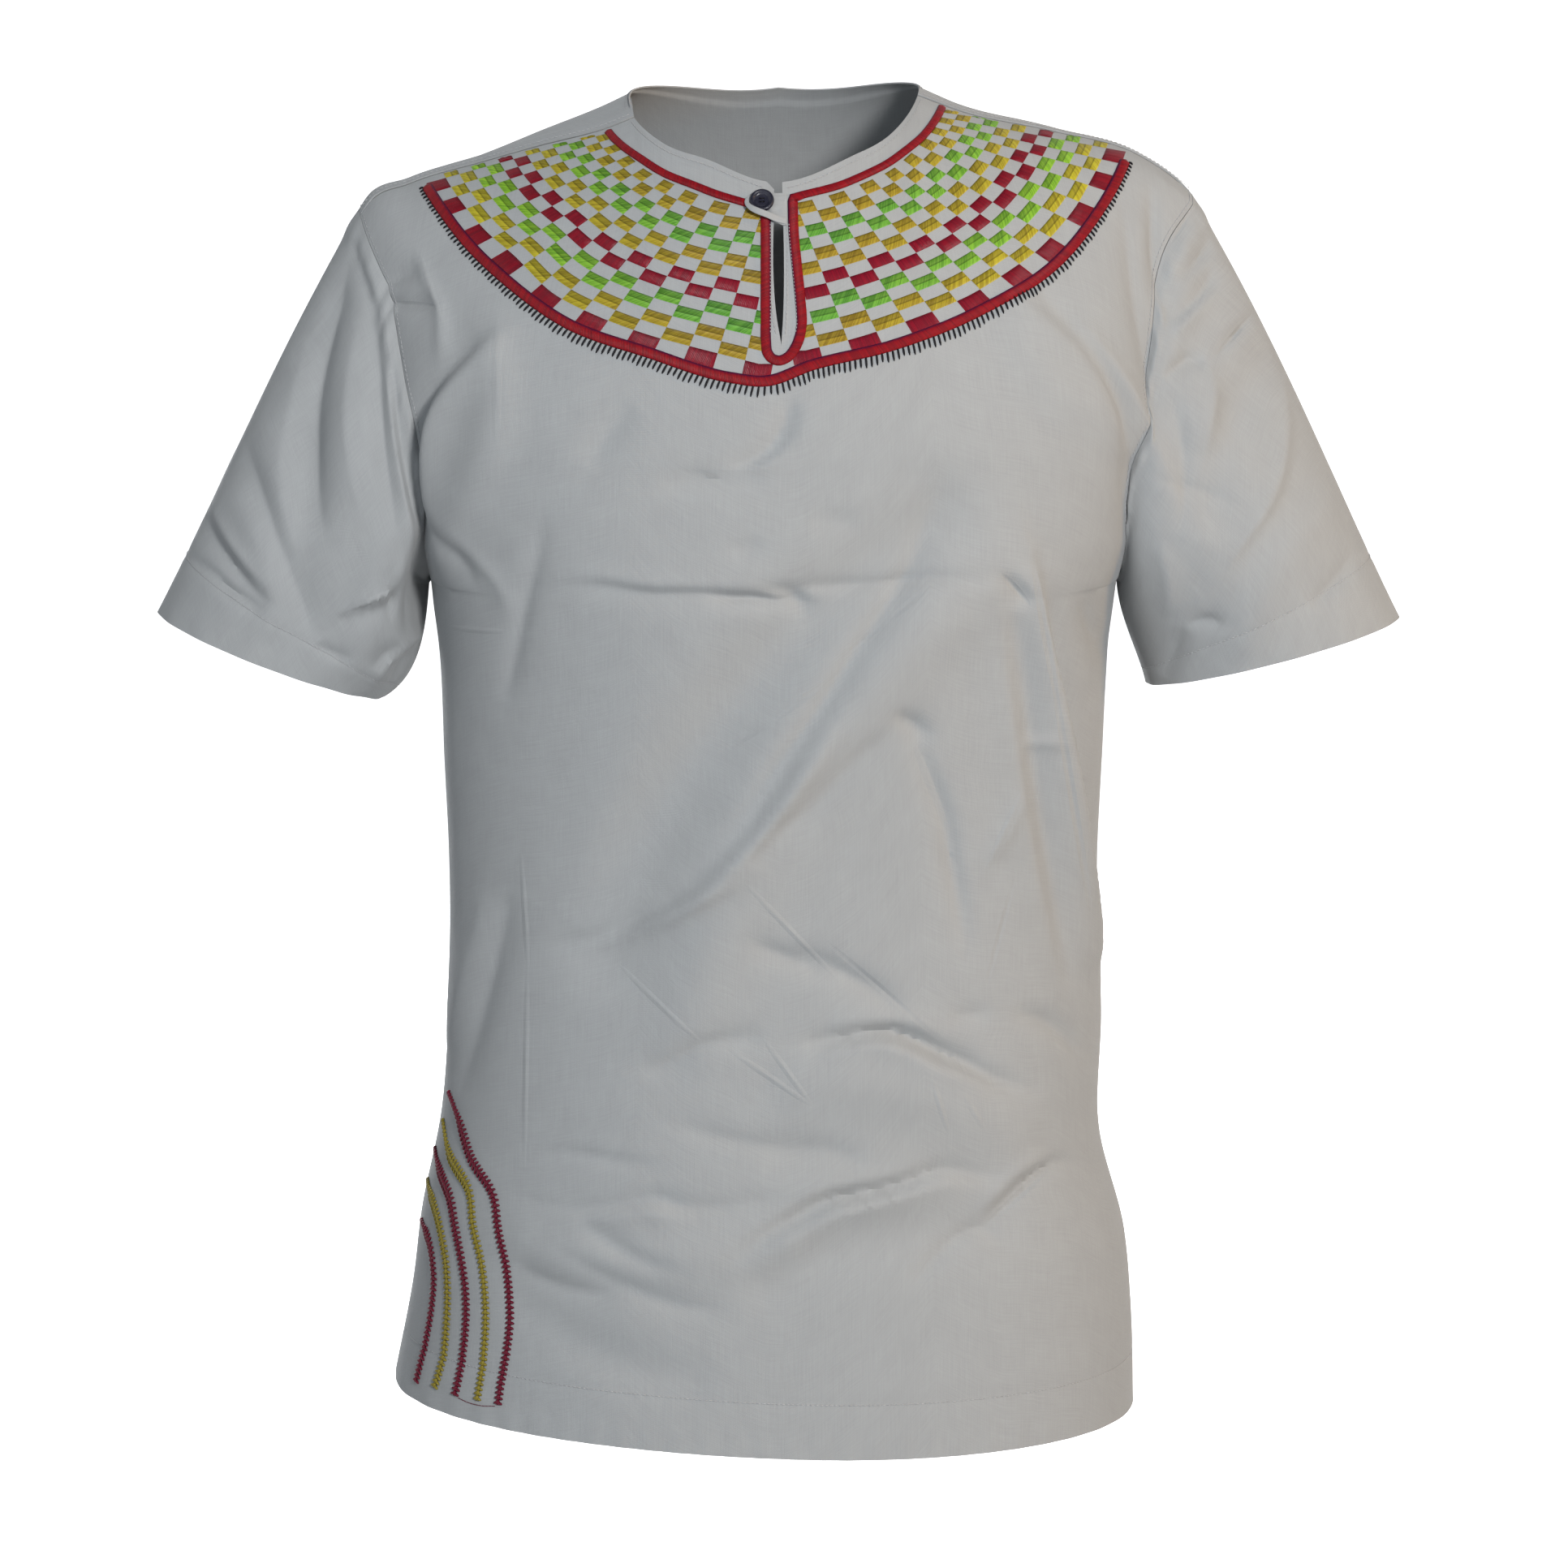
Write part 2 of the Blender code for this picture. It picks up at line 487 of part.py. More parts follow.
def add_cloth(finish):
    """The front and back panels and the two sleeves."""
    panels = {}
    for name, facing, body_rows in (("front_panel", -1, ROWS_BODY_FRONT), ("back_panel", 1, ROWS_BODY_BACK)):
        s, h = panel_grid(facing, body_rows)
        points, normals = body(s, h)
        for edge in (0, -1):
            points[:, edge, 1] += facing * SEAM_GAP / 2
        panels[name] = [s, h, points, normals]

    last = count_to_underarm()
    for cuff in SLEEVES:
        side = -1 if cuff[0] == "left" else 1
        edge, beside = (0, 1) if side < 0 else (-1, -2)
        front, back = panels["front_panel"], panels["back_panel"]

        def loop_of(part, column):
            ahead, behind = front[part][:last + 1, column], back[part][:last + 1, column]
            joined = np.concatenate([ahead, behind[-2:0:-1]])
            joined[0], joined[last] = (ahead[0] + behind[0]) / 2, (ahead[last] + behind[last]) / 2
            return joined

        loop, panel_normals = loop_of(2, edge), unit(loop_of(3, edge))
        tangent = unit(np.roll(loop, -1, axis=0) - np.roll(loop, 1, axis=0))
        outward = loop - loop_of(2, beside)
        outward = unit(outward - (outward * tangent).sum(axis=1, keepdims=True) * tangent)
        rings, normals, wall = sleeve_grid(loop, outward, cuff, side)

        # Where the seam bends outward, both edges share one direction, so their inner corners don't cross.
        rise = (panel_normals * unit(rings[1] - rings[0])).sum(axis=1, keepdims=True)
        share = 1 - np.clip(rise / EDGE_TURN, 0, 1)
        shared = unit(panel_normals + normals[0])
        stretch = 1 / np.maximum((shared * panel_normals).sum(axis=1, keepdims=True), 0.6)
        panel_edge = panel_normals * (1 - share) + shared * stretch * share
        normals[0] = normals[0] * (1 - share) + shared * stretch * share
        front[3][:last + 1, edge] = panel_edge[:last + 1]
        back[3][:last + 1, edge] = np.concatenate([panel_edge[:1], panel_edge[:last - 1:-1]])

        rows, count = rings.shape[:2]
        index = np.arange(rows * count).reshape(rows, count)
        quads = [(index[i, j], index[i + 1, j], index[i + 1, (j + 1) % count], index[i, (j + 1) % count])
                 for i in range(rows - 1) for j in range(count)]
        if side > 0:
            quads = [tuple(reversed(quad)) for quad in quads]
        inward = -normals * wall[:, None, None]
        add_wall("sleeve_" + cuff[0], rings.reshape(-1, 3), inward.reshape(-1, 3), quads, finish)

    for name, (s, h, points, normals) in panels.items():
        index = np.arange(s.size).reshape(s.shape)
        if name == "front_panel":
            points, normals, index = cut_slit(s, h, points, normals, index)
            right_of_slit = index[1]
            index = index[0]
        else:
            points, normals = points.reshape(-1, 3), normals.reshape(-1, 3)
            right_of_slit = index
        centre = s.shape[1] // 2
        quads = []
        for i in range(s.shape[0] - 1):
            for j in range(s.shape[1] - 1):
                grid = right_of_slit if j >= centre else index
                quads.append((grid[i, j], grid[i + 1, j], grid[i + 1, j + 1], grid[i, j + 1]))
        if name == "back_panel":
            quads = [tuple(reversed(quad)) for quad in quads]
        inward = -normals * thickness(points)[:, None]
        add_wall(name, points, inward, quads, finish)


def cut_slit(s, h, points, normals, index):
    """Part the middle column above the slit's end into a left and a right edge."""
    centre = s.shape[1] // 2
    heights = points[:SLIT_ROW, centre, 2]
    edges = []
    for column in (1, 2):
        x = read(SLIT, column, heights)
        edge_s = x / half_width(x, heights)
        edges.append(body(edge_s, h[:SLIT_ROW, centre]))
    tip_s = SLIT[0][1] / half_width(np.array(-1.0), SLIT_TIP_Z)
    points[SLIT_ROW, centre], normals[SLIT_ROW, centre] = body(tip_s, h[SLIT_ROW, centre])
    points[:SLIT_ROW, centre], normals[:SLIT_ROW, centre] = edges[0]
    right = index.copy()
    right[:SLIT_ROW, centre] = s.size + np.arange(SLIT_ROW)
    points = np.concatenate([points.reshape(-1, 3), edges[1][0]])
    normals = np.concatenate([normals.reshape(-1, 3), edges[1][1]])
    return points, normals, (index, right)


def smooth_route(points, step):
    """Evenly spaced points on a smooth curve through the given ones."""
    points = np.array(points, dtype=float)
    walked = np.concatenate([[0], np.cumsum(np.linalg.norm(np.diff(points, axis=0), axis=1))])
    count = max(2, int(round(walked[-1] / step)))
    at = np.linspace(0, walked[-1], count + 1)
    return np.stack([read(list(zip(walked, points[:, k])), 1, at) for k in range(points.shape[1])], axis=-1)


def add_cord(name, route, widths, finish):
    """A domed satin cord that lies on the front panel along a route of (s, h) points."""
    ground, normals = body(route[:, 0], route[:, 1])
    along = unit(np.gradient(ground, axis=0))
    across = unit(np.cross(normals, along))
    section = ((-0.5, 0.0), (-0.42, 0.62), (-0.16, 1.0), (0.16, 1.0), (0.42, 0.62), (0.5, 0.0))
    sides = len(section)
    rings = np.stack([ground + across * (u * widths)[:, None] + normals * (LAID_GAP + v * CORD_HEIGHT)
                      for u, v in section], axis=1)
    points = rings.reshape(-1, 3)
    faces = [tuple(range(sides)), tuple(reversed([len(points) - sides + k for k in range(sides)]))]
    for i in range(len(route) - 1):
        for k in range(sides):
            a, b = i * sides + k, i * sides + (k + 1) % sides
            faces.append((a, a + sides, b + sides, b))
    return add_mesh(name, points, faces, finish)


def add_cords(finish):
    """The red cords along the neck, round the slit and round the yoke."""
    left = np.linspace(seam_degrees(-1, True) - 1.0, 10.8, 17)
    route = np.stack(under_plan(*neck_plan(left, -1, True)), axis=-1)
    add_cord("neck_cord_left", route, np.full(len(route), NECK_CORD_WIDTH), finish)

    slit = smooth_route(SLIT_CORD, CORD_STEP * 0.7)
    slit = np.stack(on_front(slit[:, 0], slit[:, 1]), axis=-1)
    right = np.linspace(9.5, seam_degrees(1, True) - 1.0, 17)
    neck = np.stack(under_plan(*neck_plan(right, 1, True)), axis=-1)
    route = np.concatenate([slit, neck])
    widths = np.where(np.arange(len(route)) < len(slit), SLIT_CORD_WIDTH, NECK_CORD_WIDTH)
    add_cord("neck_cord_right", route, widths, finish)

    yoke = smooth_route(YOKE_CORD, CORD_STEP * 1.25)
    route = np.stack(on_front(yoke[:, 0], yoke[:, 1]), axis=-1)
    add_cord("yoke_cord", route, np.full(len(route), YOKE_CORD_WIDTH), finish)


def front_frame(x, z, stand):
    """A placement on the front panel at (x, z): its local Z points out of the cloth, its local X right."""
    point, normal = body(*on_front(x, z))
    out = Vector(normal)
    right = (Vector((1, 0, 0)) - out * out.x).normalized()
    turn = Matrix((right, out.cross(right), out)).transposed().to_4x4()
    return Matrix.Translation(Vector(point) + out * stand) @ turn


def add_button(finish):
    """The button, turned about its own axis."""
    mesh = bpy.data.meshes.new("button")
    mesh.from_pydata([(r, 0, z) for r, z in BUTTON], [(i, i + 1) for i in range(len(BUTTON) - 1)], [])
    mesh.materials.append(finish)
    made = bpy.data.objects.new("button", mesh)
    bpy.data.collections["dashiki_shirt"].objects.link(made)
    made.matrix_world = front_frame(*BUTTON_AT, BUTTON_STAND)
    turned = made.modifiers.new("turned", "SCREW")
    turned.steps = turned.render_steps = BUTTON_SIDES
    turned.use_merge_vertices = True
    turned.merge_threshold = 0.00001


def add_button_loop(finish):
    """The flat loop of cloth from the slit's right edge round the button's shank."""
    place = front_frame(*BUTTON_AT, LOOP_STAND + LOOP_THICKNESS / 2)
    middle_x, middle_z = BUTTON_AT
    curve = bpy.data.curves.new("button_loop", "CURVE")
    curve.dimensions = "2D"
    curve.fill_mode = "BOTH"
    curve.extrude = LOOP_THICKNESS / 2
    for outline in (LOOP_OUTLINE, LOOP_HOLE):
        spline = curve.splines.new("POLY")
        spline.points.add(len(outline) - 1)
        for point, (x, z) in zip(spline.points, outline):
            point.co = (x - middle_x, z - middle_z, 0, 1)
        spline.use_cyclic_u = True
    curve.materials.append(finish)
    made = bpy.data.objects.new("button_loop", curve)
    made.matrix_world = place
    bpy.data.collections["dashiki_shirt"].objects.link(made)


def build():
    for old in list(bpy.data.objects):
        bpy.data.objects.remove(old, do_unlink=True)
    collection = bpy.data.collections.new("dashiki_shirt")
    bpy.context.scene.collection.children.link(collection)
    cloth = material("grey_cotton", (0.42, 0.42, 0.42), 0.85)
    satin = material("red_satin_thread", (0.45, 0.02, 0.03), 0.45)
    plastic = material("black_button", (0.012, 0.012, 0.016), 0.25)
    add_cloth(cloth)
    add_cords(satin)
    add_button(plastic)
    add_button_loop(cloth)


build()
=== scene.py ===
import json
import math

import bpy
import numpy as np
from mathutils import Matrix, Vector

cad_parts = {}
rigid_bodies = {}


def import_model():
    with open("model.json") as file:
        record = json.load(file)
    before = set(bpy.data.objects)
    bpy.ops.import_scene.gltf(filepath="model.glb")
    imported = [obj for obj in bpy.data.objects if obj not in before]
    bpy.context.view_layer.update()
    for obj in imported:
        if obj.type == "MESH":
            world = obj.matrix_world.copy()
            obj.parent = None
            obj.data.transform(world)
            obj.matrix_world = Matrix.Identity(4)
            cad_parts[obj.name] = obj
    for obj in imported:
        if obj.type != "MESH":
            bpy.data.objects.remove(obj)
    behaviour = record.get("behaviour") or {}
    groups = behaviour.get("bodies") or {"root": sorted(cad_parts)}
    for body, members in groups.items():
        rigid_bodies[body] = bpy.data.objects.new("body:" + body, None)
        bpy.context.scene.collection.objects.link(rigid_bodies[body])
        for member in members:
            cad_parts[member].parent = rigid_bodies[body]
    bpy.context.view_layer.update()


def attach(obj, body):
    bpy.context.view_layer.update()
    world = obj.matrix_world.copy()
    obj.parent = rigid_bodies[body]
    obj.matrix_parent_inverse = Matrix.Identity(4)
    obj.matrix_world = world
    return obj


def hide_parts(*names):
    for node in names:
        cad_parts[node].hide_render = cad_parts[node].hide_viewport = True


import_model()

# ---- Camera, pale floor and soft light ---------------------------------------
# The shirt hangs filled out, as on a stand, and is seen from the height of its shoulders. A round
# white sweep lies below and behind it. A warm soft box is on the right and a cooler one on the left,
# and one lights the back.


def add_object(name, data):
    """A new object in the scene, with its own axes on the world's."""
    made = bpy.data.objects.new(name, data)
    bpy.context.scene.collection.objects.link(made)
    return made


def new_finish(name):
    """A new material, its node tree and its shader."""
    made = bpy.data.materials.new(name)
    made.use_nodes = True
    return made, made.node_tree, made.node_tree.nodes["Principled BSDF"]


def fill(node, values):
    """Sets each input of a node, or links it where the value is another node's output."""
    for key, value in values.items():
        if isinstance(value, bpy.types.NodeSocket):
            node.id_data.links.new(value, node.inputs[key])
        else:
            node.inputs[key].default_value = value


SENSOR_MM, FOCAL_PIXELS, FRAME_PIXELS = 36, 6754, 1932
CAMERA_AT, CAMERA_AIM = (0, -3.0, 0.10), (0, 0, -0.387)
camera_data = bpy.data.cameras.new("camera")
camera_data.sensor_width = SENSOR_MM
camera_data.lens = SENSOR_MM * FOCAL_PIXELS / FRAME_PIXELS
camera = add_object("camera", camera_data)
camera.location = CAMERA_AT
camera.rotation_euler = (Vector(CAMERA_AIM) - camera.location).to_track_quat("-Z", "Y").to_euler()
bpy.context.scene.camera = camera

# The height of the sweep's floor and of its wall's top, how far out the wall stands, the radius of the
# turn between them, the floor's middle disc, and the sides all round.
SWEEP_FLOOR_Z, SWEEP_TOP_Z, SWEEP_REACH, SWEEP_TURN, SWEEP_DISC, SWEEP_SIDES = -1.05, 6.0, 6.5, 0.8, 0.5, 64
profile = [(SWEEP_DISC, SWEEP_FLOOR_Z)] + [
    (SWEEP_REACH - SWEEP_TURN + SWEEP_TURN * math.sin(a), SWEEP_FLOOR_Z + SWEEP_TURN * (1 - math.cos(a)))
    for a in np.linspace(0, math.pi / 2, 9)] + [(SWEEP_REACH, SWEEP_TOP_Z)]
turns = [(math.cos(a), math.sin(a)) for a in np.arange(SWEEP_SIDES) * 2 * math.pi / SWEEP_SIDES]
sweep_mesh = bpy.data.meshes.new("floor")
sweep_mesh.from_pydata(
    [(out * x, out * y, z) for out, z in profile for x, y in turns], [],
    [list(range(SWEEP_SIDES))] + [
        (row * SWEEP_SIDES + i, (row + 1) * SWEEP_SIDES + i,
         (row + 1) * SWEEP_SIDES + (i + 1) % SWEEP_SIDES, row * SWEEP_SIDES + (i + 1) % SWEEP_SIDES)
        for row in range(len(profile) - 1) for i in range(SWEEP_SIDES)])
for face in sweep_mesh.polygons:
    face.use_smooth = True
sweep_paper, _, shader = new_finish("white_paper")
fill(shader, {"Base Color": (0.95, 0.95, 0.95, 1), "Roughness": 0.9,
              "Emission Color": (1, 1, 1, 1), "Emission Strength": 1.0})
sweep_mesh.materials.append(sweep_paper)
sweep = add_object("floor", sweep_mesh)
sweep.visible_diffuse = sweep.visible_shadow = False

# Name, place, aim, size in metres, watts and colour.
for name, place, aim, size, power, colour in (
        ("soft_box_front", (1.0, -3.1, 0.75), (0.0, 0, -0.35), 0.5, 102, (1.0, 0.995, 0.985)),
        ("soft_box_right", (3.0, -0.9, 0.4), (0.05, 0, -0.35), 0.6, 30, (1.0, 0.57, 0.17)),
        ("soft_box_left", (-1.8, -2.6, 0.2), (-0.05, 0, -0.4), 1.4, 13, (0.80, 0.91, 1.0)),
        ("soft_box_top", (0.0, -0.3, 2.4), (0, 0, -0.2), 1.6, 8, (1.0, 0.99, 0.97)),
        ("soft_box_back", (-1.0, 3.2, -0.2), (0.0, 0, -0.4), 0.8, 55, (0.96, 0.98, 1.0))):
    light_data = bpy.data.lights.new(name, "AREA")
    light_data.size, light_data.energy, light_data.color = size, power, colour
    light = add_object(name, light_data)
    light.location = place
    light.rotation_euler = (Vector(aim) - Vector(place)).to_track_quat("-Z", "Y").to_euler()
world = bpy.data.worlds.new("studio")
world.use_nodes = True
world.node_tree.nodes["Background"].inputs["Color"].default_value = (0.86, 0.93, 1.0, 1)
world.node_tree.nodes["Background"].inputs["Strength"].default_value = 0.20
bpy.context.scene.world = world
bpy.context.scene.view_settings.view_transform = "Standard"


# ---- Front panel -------------------------------------------------------------
# One cut of plain-woven grey cotton, from the shoulder seams to the hem, with a slit cut down from
# the neck. Its form is worked out from the same tables as the solid's; the finer creases are added.
CLOTH_THICK, HEM_THICK = 0.0009, 0.0016
SEAM_GAP = 0.0003
CHEST_Z, UNDERARM_Z, HOLLOW_END_Z, HEM_Z = -0.200, -0.270, -0.335, -0.735
BODY_HEM, SLEEVE_HEM = 0.030, 0.028
FRONT_ROUND, BACK_ROUND, PLAN_ROUND, ARMHOLE_TURN = 1.65, 2.30, 2.30, 0.07
ARMHOLE_DEPTHS = (0.058, 0.062)
# Height, and half the body's width on the left and right.
WIDTHS = (
    (-0.735, 0.219, 0.197), (-0.680, 0.2085, 0.195), (-0.640, 0.2035, 0.191), (-0.582, 0.192, 0.1765),
    (-0.513, 0.187, 0.177), (-0.430, 0.186, 0.174), (-0.375, 0.188, 0.176), (-0.307, 0.1905, 0.179),
    (-0.270, 0.195, 0.183), (-0.240, 0.198, 0.187), (-0.200, 0.201, 0.191), (-0.147, 0.206, 0.198),
    (-0.107, 0.215, 0.202), (-0.083, 0.226, 0.209), (-0.066, 0.233, 0.222),
)
# Height, and how far the cloth stands in front of and behind the shoulder ridge.
DEPTHS = (
    (-0.735, 0.143, 0.131), (-0.640, 0.135, 0.128), (-0.560, 0.127, 0.119), (-0.480, 0.121, 0.107),
    (-0.400, 0.121, 0.103), (-0.320, 0.125, 0.108), (-0.260, 0.127, 0.114), (-0.200, 0.124, 0.112),
)
HEM_LIFT = ((-1.0, 0.014), (-0.5, 0.008), (0.0, 0.0025), (1.0, 0.001))
# Place across, and the height of the shoulder ridge; then how far the shoulder seam lies before it.
RIDGE = (
    (-0.235, -0.072), (-0.229, -0.064), (-0.205, -0.053), (-0.166, -0.040), (-0.131, -0.026),
    (-0.098, -0.013), (-0.081, -0.005), (0.000, 0.018), (0.070, -0.002), (0.096, -0.013),
    (0.146, -0.026), (0.193, -0.040), (0.213, -0.053), (0.222, -0.061), (0.235, -0.077),
)
SEAM_FORWARD = (
    (-0.235, 0.008), (-0.190, 0.0095), (-0.082, 0.031), (0.072, 0.0165), (0.190, 0.0025), (0.235, 0.002),
)
# Degrees from the neck hole's front, and its radius on the left and right.
NECK_X, NECK_SHARE = -0.003, 0.42
NECK = (
    (0, 0.0780, 0.0780), (30, 0.0760, 0.0755), (50, 0.0810, 0.0775), (70, 0.0835, 0.0775),
    (90, 0.0790, 0.0755), (135, 0.0670, 0.0660), (180, 0.0600, 0.0600),
)
NECK_CORD = (           # degrees, and how far outside the neck edge its cord runs
    (0, 0.0080, 0.0048), (12, 0.0084, 0.0057), (25, 0.0098, 0.0075), (40, 0.0100, 0.0084),
    (50, 0.0100, 0.0090), (62, 0.0118, 0.0112), (72, 0.0138, 0.0125), (85, 0.0155, 0.0140),
)
# The slit's edges: height, and their places across.
SLIT = (
    (-0.134, -0.0014, -0.0014), (-0.120, -0.0040, -0.0005), (-0.100, -0.0058, 0.0000),
    (-0.080, -0.0062, -0.0002), (-0.062, -0.0057, -0.0008), (-0.045, -0.0058, -0.0012),
)
SLIT_TIP_Z = -0.134
# The folds and creases fade out towards the side seams, and at the hem this share of them is left.
SIDE_FADE, HEM_FADE, HEM_FADE_LEFT = 0.030, 0.030, 0.35
# The groove along a hem's stitches, its half-width, and the slight waves along the hem's edge.
PRESS_DEEP, PRESS_WIDE = 0.0003, 0.0022
HEM_WAVE, HEM_WAVE_REACH, HEM_WAVES = 0.0004, 0.012, 410
TENTHS = 10000          # tenths of a mm in a metre: the tables of folds and creases are in tenths
# Folds: start x and z, end x and z, sideways bow, half-width and height outward.
FOLDS_FRONT = (
    (800, -2250, -950, -4620, 260, 220, -78), (1150, -2550, -500, -5000, 300, 240, 60),
    (-1540, -1280, -1900, -2500, -140, 130, 40), (1220, -1180, 1880, -1850, 100, 150, 30),
    (1360, -2650, 1650, -4700, 80, 140, 30), (100, -5300, 1250, -5650, -120, 180, 40),
    (-100, -6400, 1200, -6100, -100, 140, -30), (-1400, -6220, 0, -6150, 80, 140, 30),
    (-1450, -6500, -500, -6900, 80, 140, -26),
)
CREASE_DEPTH, CREASE_ROUND = 1.85, 1.35     # how deep the fine creases are, and how round at their crests
CREASE_STEP, CREASE_REACH = 0.006, 0.03     # steps along a crease, and how far from it the cloth still moves
# Fine creases: half-width on the left and right of the direction of travel, height, then the route: where
# it starts (x, z), and each step onward.
CREASES_FRONT = (
    (110, 60, -40, 790, -2160, -80, -270, -370, -610, -320, -500, -320, -480, -300, -270),
    (50, 90, 36, 300, -3300, -200, -340, -280, -380, -320, -320, -300, -180),
    (45, 70, -26, 40, -1608, -19, -142, -64, -116, -103, -78, -155, -38),
    (40, 60, -22, -82, -2029, -219, -10, -181, -16, -180, -56),
    (40, 40, 12, 34, -1853, -129, -109, -206, -51, -155, 0),
    (80, 80, -16, -791, -1660, -103, -116, -91, -130, -52, -105),
    (40, 60, -15, -1129, -2615, 209, -7, 206, -31, 232, 5, 258, -10, 207, -21),
    (60, 40, 11, -1290, -2600, 266, 37, 259, -38, 258, -6, 258, -10, 180, -5),
    (40, 40, -7, -95, -2612, 258, 16, 310, 0, 361, 31, 313, 0),
    (50, 50, -14, -12, -2638, 72, -54, 65, -90),
    (40, 40, -10, -301, -2426, 103, 18, 103, 39),
    (50, 50, -10, 138, -2279, 129, 18, 129, -10),
    (80, 60, -22, 1308, -1043, 195, -200, 202, -211, 120, -260, 46, -249),
    (60, 80, 20, 1200, -1114, 191, -144, 226, -210, 133, -259, 45, -301),
    (50, 50, -16, 1841, -1957, 15, -271, 6, -242),
    (60, 50, -22, -1277, -2261, -40, -213, -69, -244, -64, -298, -62, -300),
    (40, 50, 10, -1805, -2350, 149, -141, 144, -170, 51, -200),
    (40, 80, -40, -1584, -1306, -121, -109, -120, -114, -117, -175, -45, -223, -2, -268, 38, -268, 31,
     -268),
    (90, 40, 34, -1453, -1291, -131, -107, -146, -149, -139, -202, -51, -223, 0, -223, 40, -224),
    (40, 50, -14, -1936, -2262, 80, -153, 126, -105, 74, -139),
    (35, 50, 18, -1969, -889, 62, -168, 66, -129, 11, -132, -31, -184),
    (40, 30, -16, -2170, -1146, 89, -40, 134, 7, 104, 4),
    (40, 40, -16, -2170, -1106, 56, 49, 78, 41, 89, 22),
    (45, 70, 30, 1526, -1233, 72, -52, 147, -175, 126, -199, 85, -213, 44, -212),
    (60, 70, -26, 1503, -1340, 143, -117, 124, -185, 81, -215, 47, -227, -23, -245),
    (60, 60, -22, 1825, -650, 46, -317, 45, -291, 49, -267, 35, -246),
    (40, 40, -24, 1983, -543, 17, -223, 9, -201, 18, -201),
    (80, 90, -38, 1205, -2716, 56, -309, 68, -508, 80, -493, 106, -593, 59, -325),
    (40, 130, 66, 1306, -2446, 62, -356, 51, -291, 56, -294, 80, -456, 72, -414, 64, -373, 17, -293),
    (70, 40, -50, 1345, -2516, 69, -293, 51, -292, 61, -297, 82, -458, 70, -417, 52, -371),
    (60, 120, 26, 1127, -2688, 33, -304, 45, -329, 49, -374, 75, -424, 103, -478, 59, -278),
    (45, 60, -24, 662, -3367, 65, -150, 71, -172, 66, -172, 39, -237, 47, -259, 31, -259),
    (50, 50, -22, 576, -3302, 65, -26, 64, -39, 75, -97),
    (100, 60, -18, 619, -3367, -150, -97, -172, -161, -172, -183, -172, -139, -151, -172),
    (30, 45, -22, 1138, -2555, 67, -53, 49, -70, 52, -61),
    (30, 45, -20, -413, -2653, 129, -22, 129, 3, 108, -16, 107, 18),
    (30, 30, -12, -133, -2604, 107, -21, 86, -22, 43, -53, 75, -22),
    (30, 40, -10, -4, -2619, 193, 0, 258, 5, 172, 21, 258, 13, 217, -11),
    (30, 30, 12, 1254, -3500, 86, 8, 116, -24),
    (40, 50, 14, 1290, -3743, -63, -142, -67, -143, -75, -143),
    (50, 60, -24, 1617, -2738, 42, -141, 49, -122, 37, -120),
    (100, 50, -24, -198, -4081, -103, -103, -155, -57, -155, -77, -232, -134, -155, -80, -158, -40, -161,
     -82),
    (50, 90, 22, -95, -4055, -129, -129, -180, -90, -181, -90, -232, -129, -207, -82, -159, -55),
    (90, 70, -30, -1484, -4314, -42, -195, -72, -258, -82, -292, -71, -266, -54, -235),
    (100, 80, 22, -1627, -4301, -29, -247, -74, -264, -75, -295, -61, -239),
    (50, 70, -18, -198, -4519, 155, -73, 155, -61, 129, -86),
    (50, 70, -20, 60, -4571, 129, -57, 129, -72, 181, -103, 155, -129),
    (50, 60, -38, 34, -5092, 233, 36, 180, 28, 129, 3, 129, -49, 129, -72, 129, -61, 158, -100, 215, -87),
    (50, 80, 26, 163, -5151, 155, 33, 181, 31, 155, -41, 154, -93, 181, -75, 158, -93),
    (60, 90, 18, 215, -5004, 181, 38, 180, 8, 155, -39, 155, -77),
    (60, 50, -24, 1227, -4966, 192, -76, 135, -126, 92, -156),
    (50, 60, -12, 886, -4971, 103, 16, 132, -6),
    (60, 70, -20, -791, -5247, 180, 44, 155, 103, 155, 39, 206, 15),
    (60, 60, -12, -636, -5513, 283, -77, 258, -44, 310, 5),
    (80, 80, -16, -146, -5732, 180, 52, 233, 13, 180, -65),
    (50, 50, -14, -1456, -5968, 166, -44, 213, 7, 234, 41, 181, 41, 103, -41, 206, 0, 207, 31, 206, 0),
    (30, 40, -10, -1400, -5755, 271, 45, 209, -22, 284, -10),
    (40, 50, 14, -1236, -6078, 264, 30, 258, 43, 103, -16, 155, 16),
    (60, 45, -26, -378, -6299, 180, 103, 129, 98, 181, 103, 155, 77, 180, 31, 181, 39, 206, 59, 155, -23,
     211, -64),
    (40, 70, 22, -95, -6222, 155, 103, 207, 116, 206, 52, 206, 51, 181, 44, 155, -22),
    (50, 50, 16, -198, -6106, 207, 142, 206, 103, 206, 36, 207, 36, 180, 52),
    (35, 40, -22, 1081, -6117, 146, 145, 136, 97, 112, 40, 171, -57),
    (40, 40, 14, 1042, -6035, 132, 125, 134, 96, 138, 40),
    (40, 40, -16, 679, -6390, 258, 224, 105, 48, 79, -22, 47, -80),
    (60, 60, -18, -1470, -6339, 153, -70, 188, -38, 235, -7),
    (60, 60, -18, -1129, -6046, 209, -138, 206, -95, 155, -26),
    (60, 60, -14, -1263, -6214, 239, -117, 233, -97, 258, -78, 232, -13),
)


